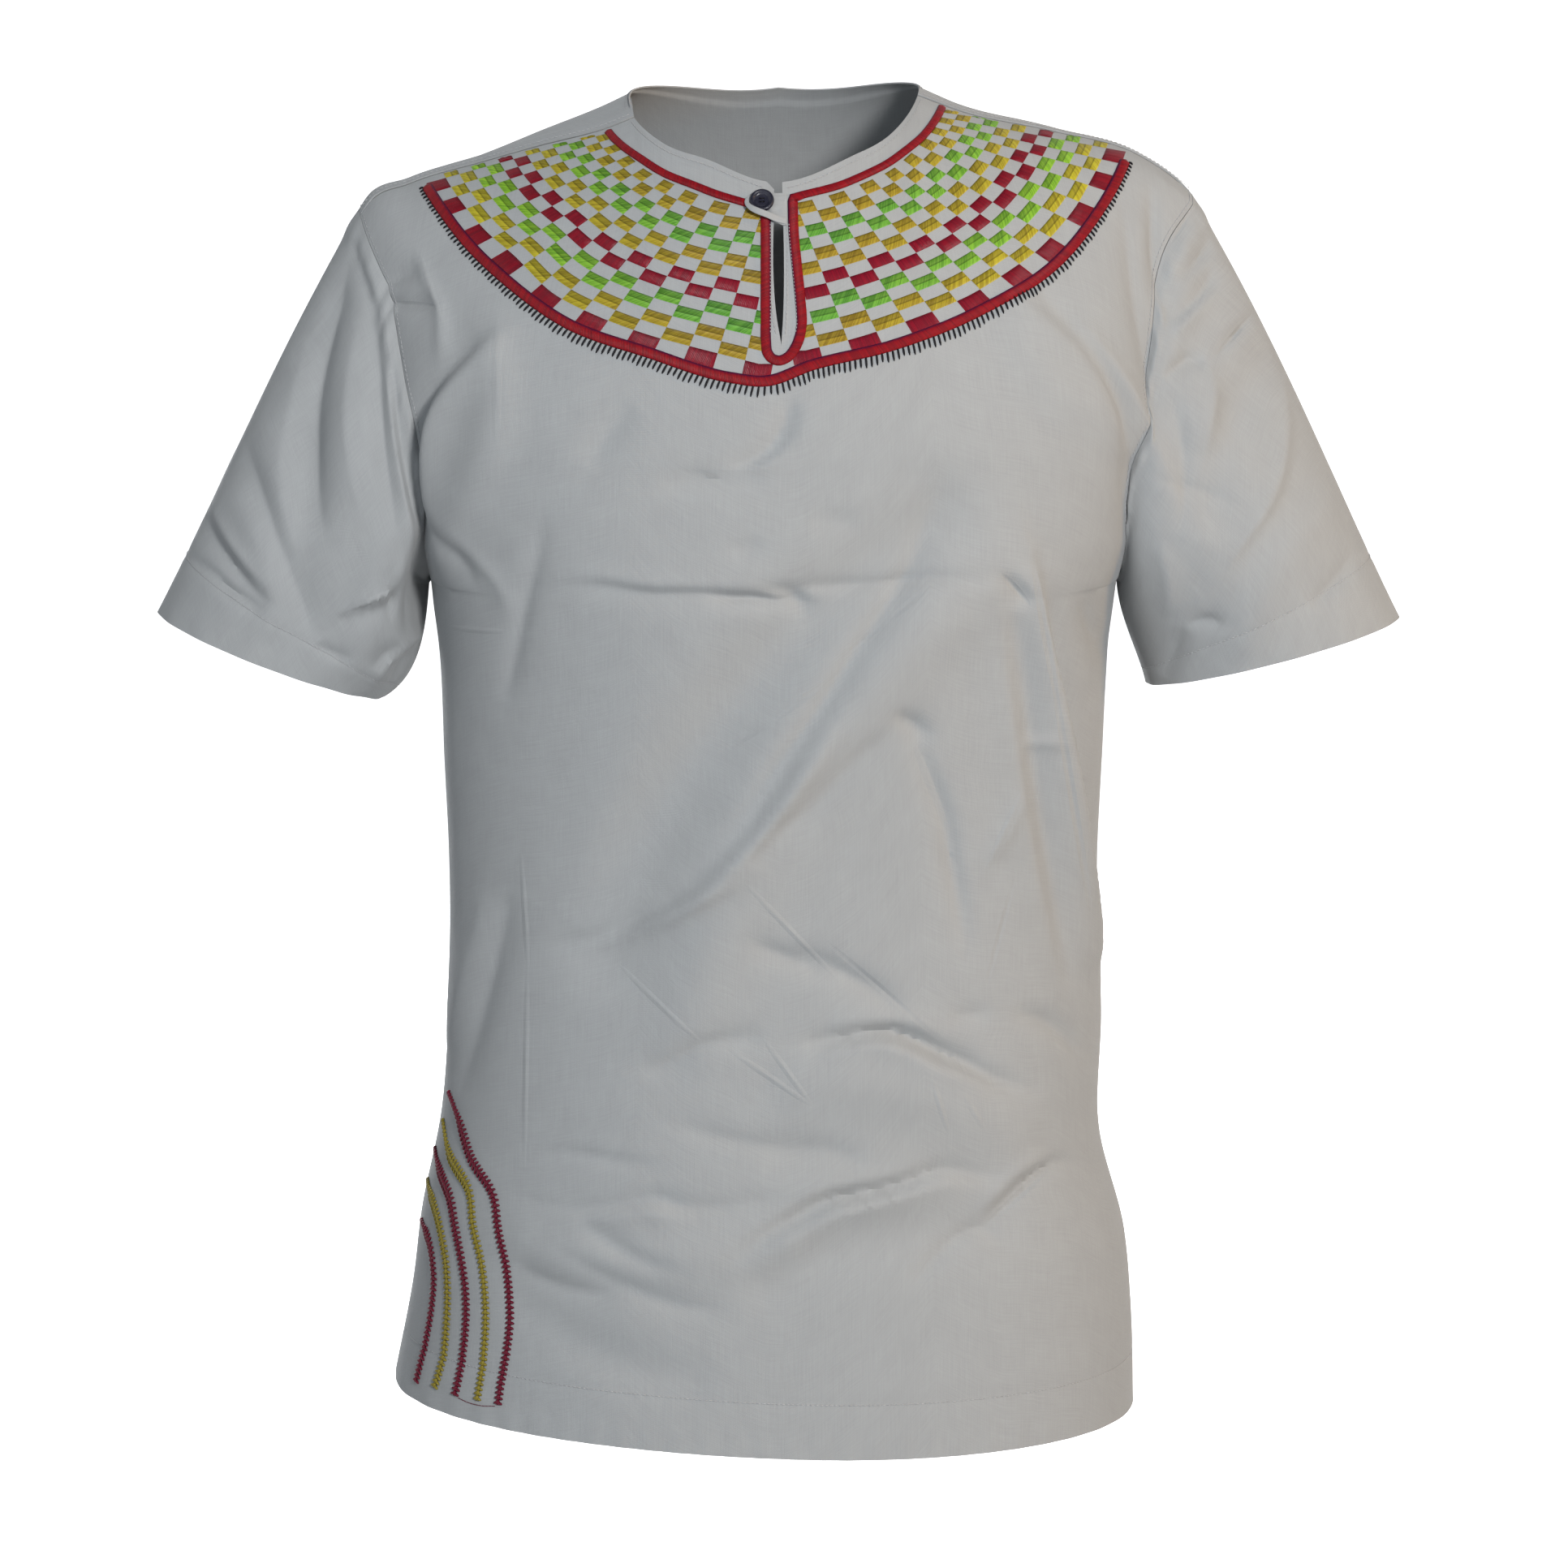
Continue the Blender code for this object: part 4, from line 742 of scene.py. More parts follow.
# ---- Back panel --------------------------------------------------------------
# One cut of the same cotton. It wraps forward over the shoulder ridge to the shoulder seams, where
# it is lapped over the front and stitched down, and it makes the back of the neck hole.
FOLDS_BACK = (
    (-1200, -1700, 600, -2300, 140, 200, -40), (-1600, -2000, -1100, -4200, 120, 180, 42),
    (1500, -1900, 1050, -4000, -120, 180, 42), (-1100, -4700, 1200, -4300, 160, 180, -45),
    (-1300, -5200, 900, -5000, 140, 160, 36), (-600, -6400, 1300, -6000, 120, 180, 32),
)
CREASES_BACK = (
    (90, 50, -26, -1500, -1300, 300, -500, 600, -250, 800, -100),
    (50, 90, 20, 1400, -1400, -300, -500, -500, -300),
    (60, 60, -16, -500, -600, 400, -250, 550, 230),
    (100, 50, -30, -1720, -2800, 220, -800, 500, -700, 600, -400),
    (50, 100, -30, 1650, -2900, -250, -800, -500, -600, -600, -350),
    (20, 30, 10, -1500, -2620, 900, 40, 1100, -30, 1000, 40),
    (16, 22, 8, 20, -1600, 10, -1400, -10, -1700, 10, -1700),
    (100, 45, -34, -1200, -4900, 500, 140, 700, -80, 700, 140, 600, -160),
    (60, 80, 22, -1100, -5060, 500, 120, 700, -80, 900, 80),
    (100, 45, -30, -1500, -5600, 500, -120, 700, 60, 600, -140),
    (60, 100, 22, 0, -6000, 600, 160, 600, -60, 400, 150),
    (80, 50, -26, 200, -6200, 600, 160, 500, -80),
    (70, 90, -22, -1400, -6300, 600, -200, 600, 40),
    (20, 24, 7, -800, -3000, 400, -500, 500, -300),
    (20, 24, 7, 900, -5200, -400, -300),
)
LAP_WIDE, LAP_HIGH, LAP_SLOPE = 0.0080, 0.0010, 0.004
# How far to each side the slit moves the columns, as a share of the half-width, and for how many rows
# below its tip.
SLIT_SPREAD, SLIT_EASE_ROWS = 0.22, 12
NOTCH_ROUND, NOTCH_ROWS = 0.0030, 5     # the rounded corner at the top of the slit's left edge


def panel_points(s, h, facing):
    """A panel's points and outward directions, half a seam's gap from the side seams."""
    points, normals = body(s, h)
    points[:, [0, -1], 1] += facing * SEAM_GAP / 2
    return points, normals


def part_slit(s, middle, heights):
    """Moves the columns on both sides of the slit apart, down to its tip, and a few rows below it together
    again. Returns the slit's left edge."""
    rows = len(heights)
    left_s, right_s = (read(SLIT, column, heights) / half_width(np.array(-1.0), heights) for column in (1, 2))
    near = np.clip(1 - np.abs(s[:rows] - s[:rows, middle:middle + 1]) / SLIT_SPREAD, 0, 1)
    near = near ** 2 * (3 - 2 * near)
    on_left = np.arange(COLUMNS + 1) < middle
    shift = np.where(on_left, (left_s - s[:rows, middle])[:, None], (right_s - s[:rows, middle])[:, None])
    s[:rows] += shift * near
    past = rows + np.arange(SLIT_EASE_ROWS)
    fade = np.linspace(1, 0, len(past) + 1)[1:, None]
    near = np.clip(1 - np.abs(s[past] - s[past, middle:middle + 1]) / SLIT_SPREAD, 0, 1)
    s[past] += (left_s[-1] - s[rows, middle]) * fade * near ** 2 * (3 - 2 * near)
    return left_s


def lap_over(points, normals):
    """Raises the back panel along its top edge, where it is turned under and lapped over the front."""
    from_seam = np.cumsum(np.linalg.norm(np.diff(points, axis=0, prepend=points[:1]), axis=2), axis=0)
    near_sleeve = np.clip(np.minimum(np.arange(COLUMNS + 1), COLUMNS - np.arange(COLUMNS + 1)) / 5, 0, 1)
    lap = 1 - np.clip((from_seam - LAP_WIDE) / LAP_SLOPE, 0, 1)
    points += normals * (LAP_HIGH * lap * lap * (3 - 2 * lap) * near_sleeve)[..., None]


front_panel = {"facing": -1}
back_panel = {"facing": 1}
for panel in (front_panel, back_panel):
    facing = panel["facing"]
    s, h = panel_grid(facing)
    points, normals = panel_points(s, h, facing)
    if facing < 0:
        # The middle column is parted above the slit's tip, and its left edge has points of its own.
        middle = COLUMNS // 2
        tip_row = int(np.argmin(np.abs(points[:ROWS_SHOULDER, middle, 2] - SLIT_TIP_Z)))
        left_s = part_slit(s, middle, np.append(points[:tip_row, middle, 2], SLIT_TIP_Z))
        points, normals = panel_points(s, h, facing)
        left_h = h[:tip_row, middle].copy()
        left_h[:NOTCH_ROWS] = np.interp(np.arange(NOTCH_ROWS) / NOTCH_ROWS, (0, 1), (
            h[np.argmin(np.abs(points[:tip_row, middle, 2] - points[0, middle, 2] + NOTCH_ROUND)), middle],
            left_h[NOTCH_ROWS]))
        slit_left = body(left_s[:-1], left_h)
    else:
        lap_over(points, normals)
    panel.update(s=s, h=h, points=points, normals=normals)


# ---- Left and right sleeve ---------------------------------------------------
# Each sleeve is one cut of the cotton, sewn into the armhole and closed along the underarm, with its
# cuff turned up 28 mm and stitched. Its rings start at the panels' own armhole edge.
SLEEVES = (             # side, cuff's outer and inner end (x, z), half depth, swell of the cap, leans
    ("left", (-0.345, -0.290), (-0.221, -0.338), 0.054, 0.17, 0.10, 0.80),
    ("right", (0.339, -0.293), (0.200, -0.330), 0.054, 0.30, 0.20, 0.00),
)
SLEEVE_FULLNESS, SLEEVE_LENGTH, SLEEVE_SWEEP = 0.30, 0.20, 0.36
ROWS_SLEEVE, CUFF_ROWS, SLEEVE_CREASE_SHARE = 112, 16, 0.78
# Rings start from the armhole smoothed over this many points; its own creases run this share down the sleeve.
EDGE_SMOOTH, EDGE_REACH = 12, 0.12
# A sleeve's folds fade in over this share of its length, and out this near its upper and lower edges.
CAP_FADE, EDGE_FADE = 0.04, 0.020
# The gathers beside the armhole's seam: how far from it, half-width, height, and how much they vary.
GATHER_AT, GATHER_WIDE, GATHER_HIGH, GATHER_VARY = 0.0075, 0.0050, 0.0009, 0.0005
SLEEVE_FOLDS_FRONT = (
    (-2460, -1180, -2620, -2300, 80, 120, -34), (-2760, -1600, -2620, -2900, -80, 120, -30),
    (-3000, -2250, -2760, -2900, -100, 120, 30), (-2050, -2350, -2300, -3150, 60, 100, 30),
    (2140, -750, 2050, -1500, -60, 100, 28), (2700, -1400, 2280, -2300, 80, 130, -30),
    (3000, -2250, 2500, -3000, 80, 130, 28),
)
SLEEVE_FOLDS_BACK = (
    (-2500, -1200, -2620, -2500, -80, 130, -30), (-3000, -2100, -2620, -3000, 80, 130, 28),
    (2460, -1200, 2520, -2500, 80, 130, -30), (3000, -2200, 2560, -3000, -80, 130, 28),
)
SLEEVE_CREASES_FRONT = (
    (100, 90, -50, -2362, -906, -60, -222, -73, -221, -51, -244, -22, -221, 13, -222, 36, -243, 46, -177),
    (110, 110, 30, -2595, -1349, -77, -244, -44, -265, -16, -266, 38, -244, 77, -199),
    (110, 110, 26, -2307, -1239, -33, -265, -22, -266, 22, -266, 44, -243),
    (80, 80, -36, -2960, -1925, 100, -243, 99, -244, 89, -243, 122, -288),
    (50, 60, -34, -3181, -2323, 95, -166, 82, -100, 104, -111, 139, -110),
    (40, 50, 20, -3148, -2279, 111, -155, 110, -133, 111, -122),
    (30, 40, -24, -3270, -2578, 122, -44, 122, -89, 210, -122),
    (40, 45, 30, -2185, -1161, 40, -210, 17, -266, 31, -266, 45, -265, 37, -244, -15, -177),
    (70, 70, -36, -2240, -1194, 48, -244, 18, -265, 27, -266, 35, -266, 27, -221),
    (40, 40, -24, -2103, -1460, 18, -266, 33, -265, 44, -244, 33, -221),
    (90, 70, -60, -1948, -2390, -5, -221, -44, -199, -55, -222),
    (30, 35, 22, -2440, -2859, 133, 66, 155, 58, 55, 57, 34, 100, 33, 78),
    (40, 60, -26, -2418, -2910, 133, 66, 144, 45, 78, 55),
    (30, 30, -22, -2143, -2921, 18, 133, 48, 155),
    (40, 35, 28, -2263, -3286, 107, 155, 126, 82, 126, 70),
    (50, 50, -36, -2174, -3331, 111, 155, 121, 144),
    (40, 40, -16, -2539, -3014, 88, -58, 100, -17),
    (40, 40, -24, -2240, -3176, 55, 67, 122, 55),
    (40, 40, 16, -2285, -796, 58, -133, 4, -132, 27, -89),
    (50, 50, -20, -2362, -818, 44, -133, 60, -155, 73, -177),
    (80, 80, -20, -2606, -1128, -44, -155, -78, -221),
    (40, 50, -26, 2236, -619, -27, -77, -55, -82, -64, -89),
    (40, 50, -24, 2331, -800, -29, -80, -70, -82, -100, -99),
    (50, 60, -28, 2338, -984, -40, -100, -106, -110, -111, -89),
    (50, 60, 22, 2342, -1106, -88, -88, -89, -89, -88, -88),
    (30, 30, -18, 2586, -1227, -111, -100, -144, -137),
    (35, 60, -24, 2043, -1575, 78, 71, 71, 35, 79, -40),
    (60, 100, 26, 2271, -1482, 45, -155, -14, -177, -26, -177),
    (40, 110, 28, 2719, -1571, 6, -287, -42, -244, -93, -199, -97, -133, -117, -188),
    (30, 40, -10, 1977, -2098, 210, -48, 266, -98),
    (60, 80, -24, 3135, -2534, -106, -121, -177, -166),
    (40, 50, -20, 2192, -2925, 84, 42, 111, -25),
    (50, 60, -22, 2068, -3242, 44, 144, 58, 166),
    (60, 60, 18, 2010, -2434, 67, -221, 11, -222),
    (60, 80, -20, 2088, -1637, 55, -266, 22, -265, -33, -266),
    (60, 60, -20, 3029, -2036, 33, -177, 77, -177, 22, -155),
)
SLEEVE_CREASES_BACK = (
    (80, 50, -28, -2360, -1000, -100, -500, -60, -600),
    (60, 80, 22, -2700, -1500, 20, -600, 180, -600),
    (50, 50, -20, -3000, -2300, 200, -320, 300, -230),
    (80, 50, -26, 2300, -1000, 100, -500, 40, -600),
    (60, 80, 22, 2660, -1500, -40, -600, -160, -600),
    (50, 50, -20, 2920, -2250, -220, -370, -260, -200),
)


def armhole_loop(part, column):
    """A column of both panels joined into the armhole's loop, from the shoulder seam round the underarm."""
    ahead, behind = front_panel[part][:UNDERARM_ROW + 1, column], back_panel[part][:UNDERARM_ROW + 1, column]
    joined = np.concatenate([ahead, behind[-2:0:-1]])
    joined[0], joined[UNDERARM_ROW] = (ahead[0] + behind[0]) / 2, (ahead[-1] + behind[-1]) / 2
    return joined


def sleeve_rings(loop, outward, cuff, side):
    """Rings of points from the armhole to the cuff, with their outward directions and each ring's wall."""
    _, tip, end, half_depth, cap, lean_out, lean_in = cuff
    tip, end = np.array([tip[0], 0, tip[1]]), np.array([end[0], 0, end[1]])
    centre, half = (tip + end) / 2, (tip - end) / 2
    axis = unit(np.array([-half[2], 0, half[0]]) * -side)
    lengths = np.linalg.norm(np.roll(loop, -1, axis=0) - loop, axis=1)
    walked = np.concatenate([[0], np.cumsum(lengths)[:-1]])
    front = walked / walked[UNDERARM_ROW] * math.pi
    behind = math.pi + (walked - walked[UNDERARM_ROW]) / (lengths.sum() - walked[UNDERARM_ROW]) * math.pi
    angle = np.where(np.arange(len(loop)) <= UNDERARM_ROW, front, behind)[:, None]
    mouth = centre + half * np.cos(angle) + np.array([0, -half_depth, 0]) * np.sin(angle)
    radial = loop - loop.mean(axis=0)
    radial = unit(radial - (radial @ axis)[:, None] * axis)
    upper, lower = np.clip(np.cos(angle), 0, 1), np.clip(-np.cos(angle), 0, 1)
    leave = unit(axis + (SLEEVE_FULLNESS + (cap - SLEEVE_FULLNESS) * upper) * radial)
    arrive = unit(axis + (lean_out * upper + lean_in * lower) * unit(half))
    start = loop + SEAM_GAP * unit(outward + leave)
    reach = np.linalg.norm(mouth - start, axis=1)[:, None] * SLEEVE_SWEEP
    hem = SLEEVE_HEM / SLEEVE_LENGTH
    steps = np.concatenate([np.linspace(0, 1 - hem, ROWS_SLEEVE - CUFF_ROWS + 1),
                            np.linspace(1 - hem, 1, CUFF_ROWS + 1)[1:]])
    weights = np.exp(-(np.arange(-EDGE_SMOOTH, EDGE_SMOOTH + 1) / (0.4 * EDGE_SMOOTH)) ** 2)
    even = sum(weight * np.roll(start, k - EDGE_SMOOTH, axis=0) for k, weight in enumerate(weights))
    even = even / weights.sum()
    held = np.clip(1 - steps / EDGE_REACH, 0, 1)
    rings = np.array([even * (1 - t) ** 3 + (even + leave * reach) * 3 * t * (1 - t) ** 2
                      + (mouth - arrive * reach) * 3 * t ** 2 * (1 - t) + mouth * t ** 3
                      + (start - even) * hold ** 2 * (3 - 2 * hold) for t, hold in zip(steps, held)])
    around = np.roll(rings, -1, axis=1) - np.roll(rings, 1, axis=1)
    normals = unit(np.cross(around, np.gradient(rings, axis=0)))
    normals *= np.sign((normals * (rings - rings.mean(axis=1, keepdims=True))).sum())
    fade = np.clip(steps / CAP_FADE, 0, 1)[:, None] * np.clip(np.abs(rings[..., 1]) / EDGE_FADE, 0, 1)
    in_front = rings[..., 1] < 0
    height_front = (fold_height(rings, SLEEVE_FOLDS_FRONT)
                    + crease_height(rings, SLEEVE_CREASES_FRONT) * SLEEVE_CREASE_SHARE)
    height_back = fold_height(rings, SLEEVE_FOLDS_BACK) + crease_height(rings, SLEEVE_CREASES_BACK)
    height = np.where(in_front, height_front, height_back) * fade
    height -= PRESS_DEEP * np.exp(-((steps - (1 - hem)) * SLEEVE_LENGTH / PRESS_WIDE) ** 2)[:, None]
    beside_seam = np.exp(-((steps * SLEEVE_LENGTH - GATHER_AT) / GATHER_WIDE) ** 2)[:, None]
    turn = angle[None, :, 0]
    height += beside_seam * (GATHER_HIGH + GATHER_VARY * np.sin(turn * 31) * np.sin(turn * 7 + 1))
    height += HEM_WAVE * (steps[:, None] ** 24) * np.sin(7 * turn * 2)
    wall = np.where(steps > 1 - hem - 1e-6, HEM_THICK, CLOTH_THICK)
    return rings + normals * height[..., None], normals, wall


sleeves = {}
for cuff in SLEEVES:
    side = -1 if cuff[0] == "left" else 1
    edge, beside = (0, 1) if side < 0 else (-1, -2)
    loop, panel_normals = armhole_loop("points", edge), unit(armhole_loop("normals", edge))
    tangent = unit(np.roll(loop, -1, axis=0) - np.roll(loop, 1, axis=0))
    outward = loop - armhole_loop("points", beside)
    outward = unit(outward - (outward * tangent).sum(axis=1, keepdims=True) * tangent)
    rings, normals, wall = sleeve_rings(loop, outward, cuff, side)
    # Where the sleeve runs on in the panel's own direction, both walls share one direction at the seam.
    rise = (panel_normals * unit(rings[3] - rings[0])).sum(axis=1, keepdims=True)
    share = 1 - np.clip(rise / 0.5, 0, 1)
    shared = unit(panel_normals + normals[0])
    stretch = 1 / np.maximum((shared * panel_normals).sum(axis=1, keepdims=True), 0.6)
    panel_edge = panel_normals * (1 - share) + shared * stretch * share
    normals[0] = normals[0] * (1 - share) + shared * stretch * share
    front_panel["normals"][:UNDERARM_ROW + 1, edge] = panel_edge[:UNDERARM_ROW + 1]
    back_panel["normals"][:UNDERARM_ROW + 1, edge] = np.concatenate(
        [panel_edge[:1], panel_edge[:UNDERARM_ROW - 1:-1]])
    sleeves[cuff[0]] = rings

    rows, count = rings.shape[:2]
    index = np.arange(rows * count).reshape(rows, count)
    around = np.concatenate([index, index[:, :1]], axis=1)
    quads = cells(around).reshape(-1, 4)
    flat = cloth_uv(np.concatenate([rings, rings[:, :1]], axis=1))
    corners = cells(flat).reshape(-1, 4, 2)
    if side > 0:
        quads, corners = quads[:, ::-1], corners[:, ::-1]
    inward = -normals * wall[:, None, None]
    sleeve = cloth_shell("sleeve_cloth_" + cuff[0], rings.reshape(-1, 3), inward.reshape(-1, 3), quads,
                         corners, sleeve_cotton)
    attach(sleeve, "root")
    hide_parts("sleeve_" + cuff[0])

for panel, name, size, area, finish in ((front_panel, "front_panel", (0.56, 0.76), 0.345, front_cotton),
                                        (back_panel, "back_panel", (0.56, 0.78), 0.35, back_cotton)):
    points, normals = panel["points"], panel["normals"]
    up_from_hem = points[..., 2] - HEM_Z - read(HEM_LIFT, 1, panel["s"])
    wall = np.where(up_from_hem < BODY_HEM, HEM_THICK, CLOTH_THICK)
    index = np.arange(points.shape[0] * points.shape[1]).reshape(points.shape[:2])
    left_index = index.copy()
    outer, out, thick = points.reshape(-1, 3), normals.reshape(-1, 3), wall.reshape(-1)
    if panel is front_panel:
        left_index[:tip_row, middle] = len(outer) + np.arange(tip_row)
        outer, out = np.concatenate([outer, slit_left[0]]), np.concatenate([out, slit_left[1]])
        thick = np.concatenate([thick, np.full(tip_row, CLOTH_THICK)])
    flat = cloth_uv(points)
    quads = np.concatenate([cells(left_index)[:, :COLUMNS // 2], cells(index)[:, COLUMNS // 2:]], axis=1)
    corners = cells(flat).reshape(-1, 4, 2)
    quads = quads.reshape(-1, 4)
    if panel is back_panel:
        quads, corners = quads[:, ::-1], corners[:, ::-1]
    cloth = cloth_shell(name.replace("panel", "cloth"), outer, -out * thick[:, None], quads, corners, finish)
    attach(cloth, "root")
    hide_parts(name)


# ---- Red cords ---------------------------------------------------------------
# Bands of red satin thread, sewn over a filling cord: one along each side of the neck, which on the
# right turns down round the slit, and a wider one round the outside of the yoke.
CORD_HIGH, NECK_CORD_WIDE, SLIT_CORD_WIDE, YOKE_CORD_WIDE = 0.0013, 0.0044, 0.0055, 0.0060
CORD_STEP, CORD_STAND = 0.0014, 0.00012     # steps along a cord's route, and its gap from the cloth
# The length over which a cord's ends are rounded off, and the shares of width and height left at the end.
CORD_END, CORD_END_WIDE, CORD_END_HIGH = 0.0016, 0.25, 0.15
# The slit cord's route, from the button's tab down, round the slit's end and up to the neck cord (x, z).
SLIT_CORD_END_Z = -0.141
SLIT_CORD = (
    (-0.0097, -0.0716), (-0.0096, -0.0906), (-0.0096, -0.1072), (-0.0096, -0.1239), (-0.0095, -0.1323),
    (-0.0086, -0.1385), (-0.0062, -0.1414), (-0.0026, -0.1424), (0.0017, -0.1408), (0.0060, -0.1356),
    (0.0083, -0.1300), (0.0093, -0.1239), (0.0086, -0.1114), (0.0069, -0.0947), (0.0052, -0.0781),
    (0.0046, -0.0592),
)
# The outer border's route, from the left shoulder seam to the right one (x, z).
YOKE_CORD = (
    (-0.1938, -0.0556), (-0.1846, -0.0673), (-0.1685, -0.0855), (-0.1481, -0.1029), (-0.1147, -0.1245),
    (-0.0712, -0.1388), (-0.0282, -0.1512), (-0.0100, -0.1530), (0.0145, -0.1448), (0.0574, -0.1348),
    (0.1008, -0.1191), (0.1452, -0.0941), (0.1679, -0.0694), (0.1772, -0.0560), (0.1850, -0.0420),
)


def satin_group():
    """Satin stitches: close parallel threads across a band, each painted lighter on its top, a painted
    highlight, and darker between threads, painted shade; each thread's tone differs a little at random.
    """
    group, given, out = new_tree(
        "satin stitches", "ShaderNodeTree",
        {"Place": ("Vector",), "Light": ("Color",), "Dark": ("Color",), "Threads": ("Float", 2200.0),
         "Slant": ("Float", 0.0)}, {"Color": ("Color",), "Height": ("Float",)})
    n = add_nodes(
        group,
        split=parted(given["Place"]),
        lean=maths("MULTIPLY_ADD", ("split", 1), given["Slant"], ("split", 0)),
        wobble=noise(given["Place"], 420.0, 2.0),
        wander=maths("MULTIPLY_ADD", ("wobble", 0), 0.0006, ("lean", 0)),
        count=maths("MULTIPLY", ("wander", 0), given["Threads"]),
        thread=maths("PINGPONG", ("count", 0), 0.5),
        round=maths("POWER", ("thread", 0), 0.6),
        number=maths("FLOOR", ("count", 0)),
        each=("ShaderNodeTexWhiteNoise", {"noise_dimensions": "1D"}, {"W": ("number", 0)}),
        part=maths("MULTIPLY", ("each", 0), 0.55),
        share=maths("MULTIPLY_ADD", ("round", 0), 0.75, ("part", 0), use_clamp=True),
        # Painted highlight and shade: the share is highest on each thread's top and lowest between threads.
        colour=mixed(("share", 0), given["Dark"], given["Light"]),
    )
    group.links.new(n["colour"].outputs[2], out["Color"])
    group.links.new(n["round"].outputs[0], out["Height"])
    return group


satin_stitches = satin_group()


def satin(name, light, dark, slant, roughness=0.42, edge=None):
    """Satin thread on the piece's own "thread" places. `edge` paints a dark purple shadow along a cord's
    upper side.
    """
    made, tree, shader = new_finish(name)
    n = add_nodes(
        tree,
        place=("ShaderNodeUVMap", {"uv_map": "thread"}, {}),
        satin=("ShaderNodeGroup", {"node_tree": satin_stitches}, {}),
        bump=("ShaderNodeBump", {}, {"Strength": 0.7, "Distance": 0.0003}),
    )
    fill(n["satin"], {"Place": n["place"].outputs[0], "Light": (*light, 1), "Dark": (*dark, 1),
                      "Threads": 1500.0, "Slant": slant})
    fill(n["bump"], {"Height": n["satin"].outputs["Height"]})
    colour = n["satin"].outputs["Color"]
    if edge:
        # Painted shade: toward the cord's upper side the colour turns to a dark purple shadow.
        shadow, from_middle, to_side = edge
        e = add_nodes(
            tree,
            split=parted(n["place"].outputs[0]),
            side=("ShaderNodeMapRange", {"interpolation_type": "SMOOTHSTEP"},
                  {0: ("split", 1), 1: from_middle, 2: to_side}),
            colour=mixed(("side", 0), colour, (*shadow, 1)),
        )
        colour = e["colour"].outputs[2]
    fill(shader, {"Base Color": colour, "Normal": n["bump"].outputs[0], "Roughness": roughness,
                  "Specular IOR Level": 0.12, "Sheen Weight": 0.01, "Sheen Roughness": 0.3})
    return made


# The red cords carry a painted purple shadow along their upper side.
red_satin = satin("red_satin_thread", (0.27, 0.002, 0.007), (0.085, 0.001, 0.006), slant=0.35,
                  edge=((0.030, 0.002, 0.026), 0.0010, 0.0030))


def add_cord(name, route, widths):
    """A domed closed band of satin thread that lies on the cloth along a route of (s, h) places."""
    ground, normals = body(route[:, 0], route[:, 1])
    along = unit(np.gradient(ground, axis=0))
    across = unit(np.cross(normals, along))
    turn = np.linspace(0, math.pi, 13)
    profile = [(-0.5 * math.cos(a), max(math.sin(a), 0) ** 0.7) for a in turn] + [(0.2, -0.12), (-0.2, -0.12)]
    walked = walk_along(ground)
    ends = np.clip(np.minimum(walked, walked[-1] - walked) / CORD_END, 0.0, 1) ** 0.5
    wide = widths * (CORD_END_WIDE + (1 - CORD_END_WIDE) * ends)
    tall = CORD_HIGH * (CORD_END_HIGH + (1 - CORD_END_HIGH) * ends)
    rings = np.stack([ground + across * (u * wide)[:, None] + normals * (CORD_STAND + v * tall)[:, None]
                      for u, v in profile], axis=1)
    rows, sides = rings.shape[:2]
    mesh = bpy.data.meshes.new(name)
    faces, uvs = [], []
    for i in range(rows - 1):
        for k in range(sides):
            k2 = (k + 1) % sides
            faces.append((i * sides + k, (i + 1) * sides + k, (i + 1) * sides + k2, i * sides + k2))
            for step, place in ((i, k), (i + 1, k), (i + 1, k2), (i, k2)):
                uvs.append((walked[step], profile[place][0] * widths[step]))
    faces += [tuple(range(sides)), tuple(reversed(range((rows - 1) * sides, rows * sides)))]
    uvs += [(0.0, 0.0)] * (2 * sides)
    mesh.from_pydata(rings.reshape(-1, 3).tolist(), [], faces)
    add_uv(mesh, "thread", uvs)
    for face in mesh.polygons:
        face.use_smooth = True
    mesh.materials.append(red_satin)
    return add_object(name, mesh)


left = np.linspace(seam_degrees(-1, True) - 1.0, 9.6, 64)
left_route = np.stack(under_plan(*neck_plan(left, -1, True)), axis=-1)
slit_route = smooth_route(((-0.0098, -0.0672),) + SLIT_CORD, CORD_STEP)
slit_route = np.stack(on_front(slit_route[:, 0], slit_route[:, 1]), axis=-1)
right = np.linspace(9.5, seam_degrees(1, True) - 1.0, 64)
right_route = np.concatenate([slit_route, np.stack(under_plan(*neck_plan(right, 1, True)), axis=-1)])
right_wide = np.where(np.arange(len(right_route)) < len(slit_route), SLIT_CORD_WIDE, NECK_CORD_WIDE)
yoke_places = smooth_route(YOKE_CORD, CORD_STEP)
yoke_route = np.stack(on_front(yoke_places[:, 0], yoke_places[:, 1]), axis=-1)
for name, route, widths, node in (
        ("neck_satin_left", left_route, np.full(len(left_route), NECK_CORD_WIDE), "neck_cord_left"),
        ("neck_satin_right", right_route, right_wide, "neck_cord_right"),
        ("yoke_satin", yoke_route, np.full(len(yoke_route), YOKE_CORD_WIDE), "yoke_cord")):
    cord = add_cord(name, route, widths)
    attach(cord, "root")
    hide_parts(node)


# ---- Checked yoke ------------------------------------------------------------
# Thirteen rings of satin-stitched blocks between the neck cord and the yoke cord, in a plain check:
# every other block of a ring is left as bare cloth. Gold, green and red thread, two rings of a colour,
# and one ring of red along the yoke cord.
RING_THREADS = ("gold", "gold", "green", "green", "gold", "gold", "red", "red", "green", "green",
                "gold", "gold", "red")
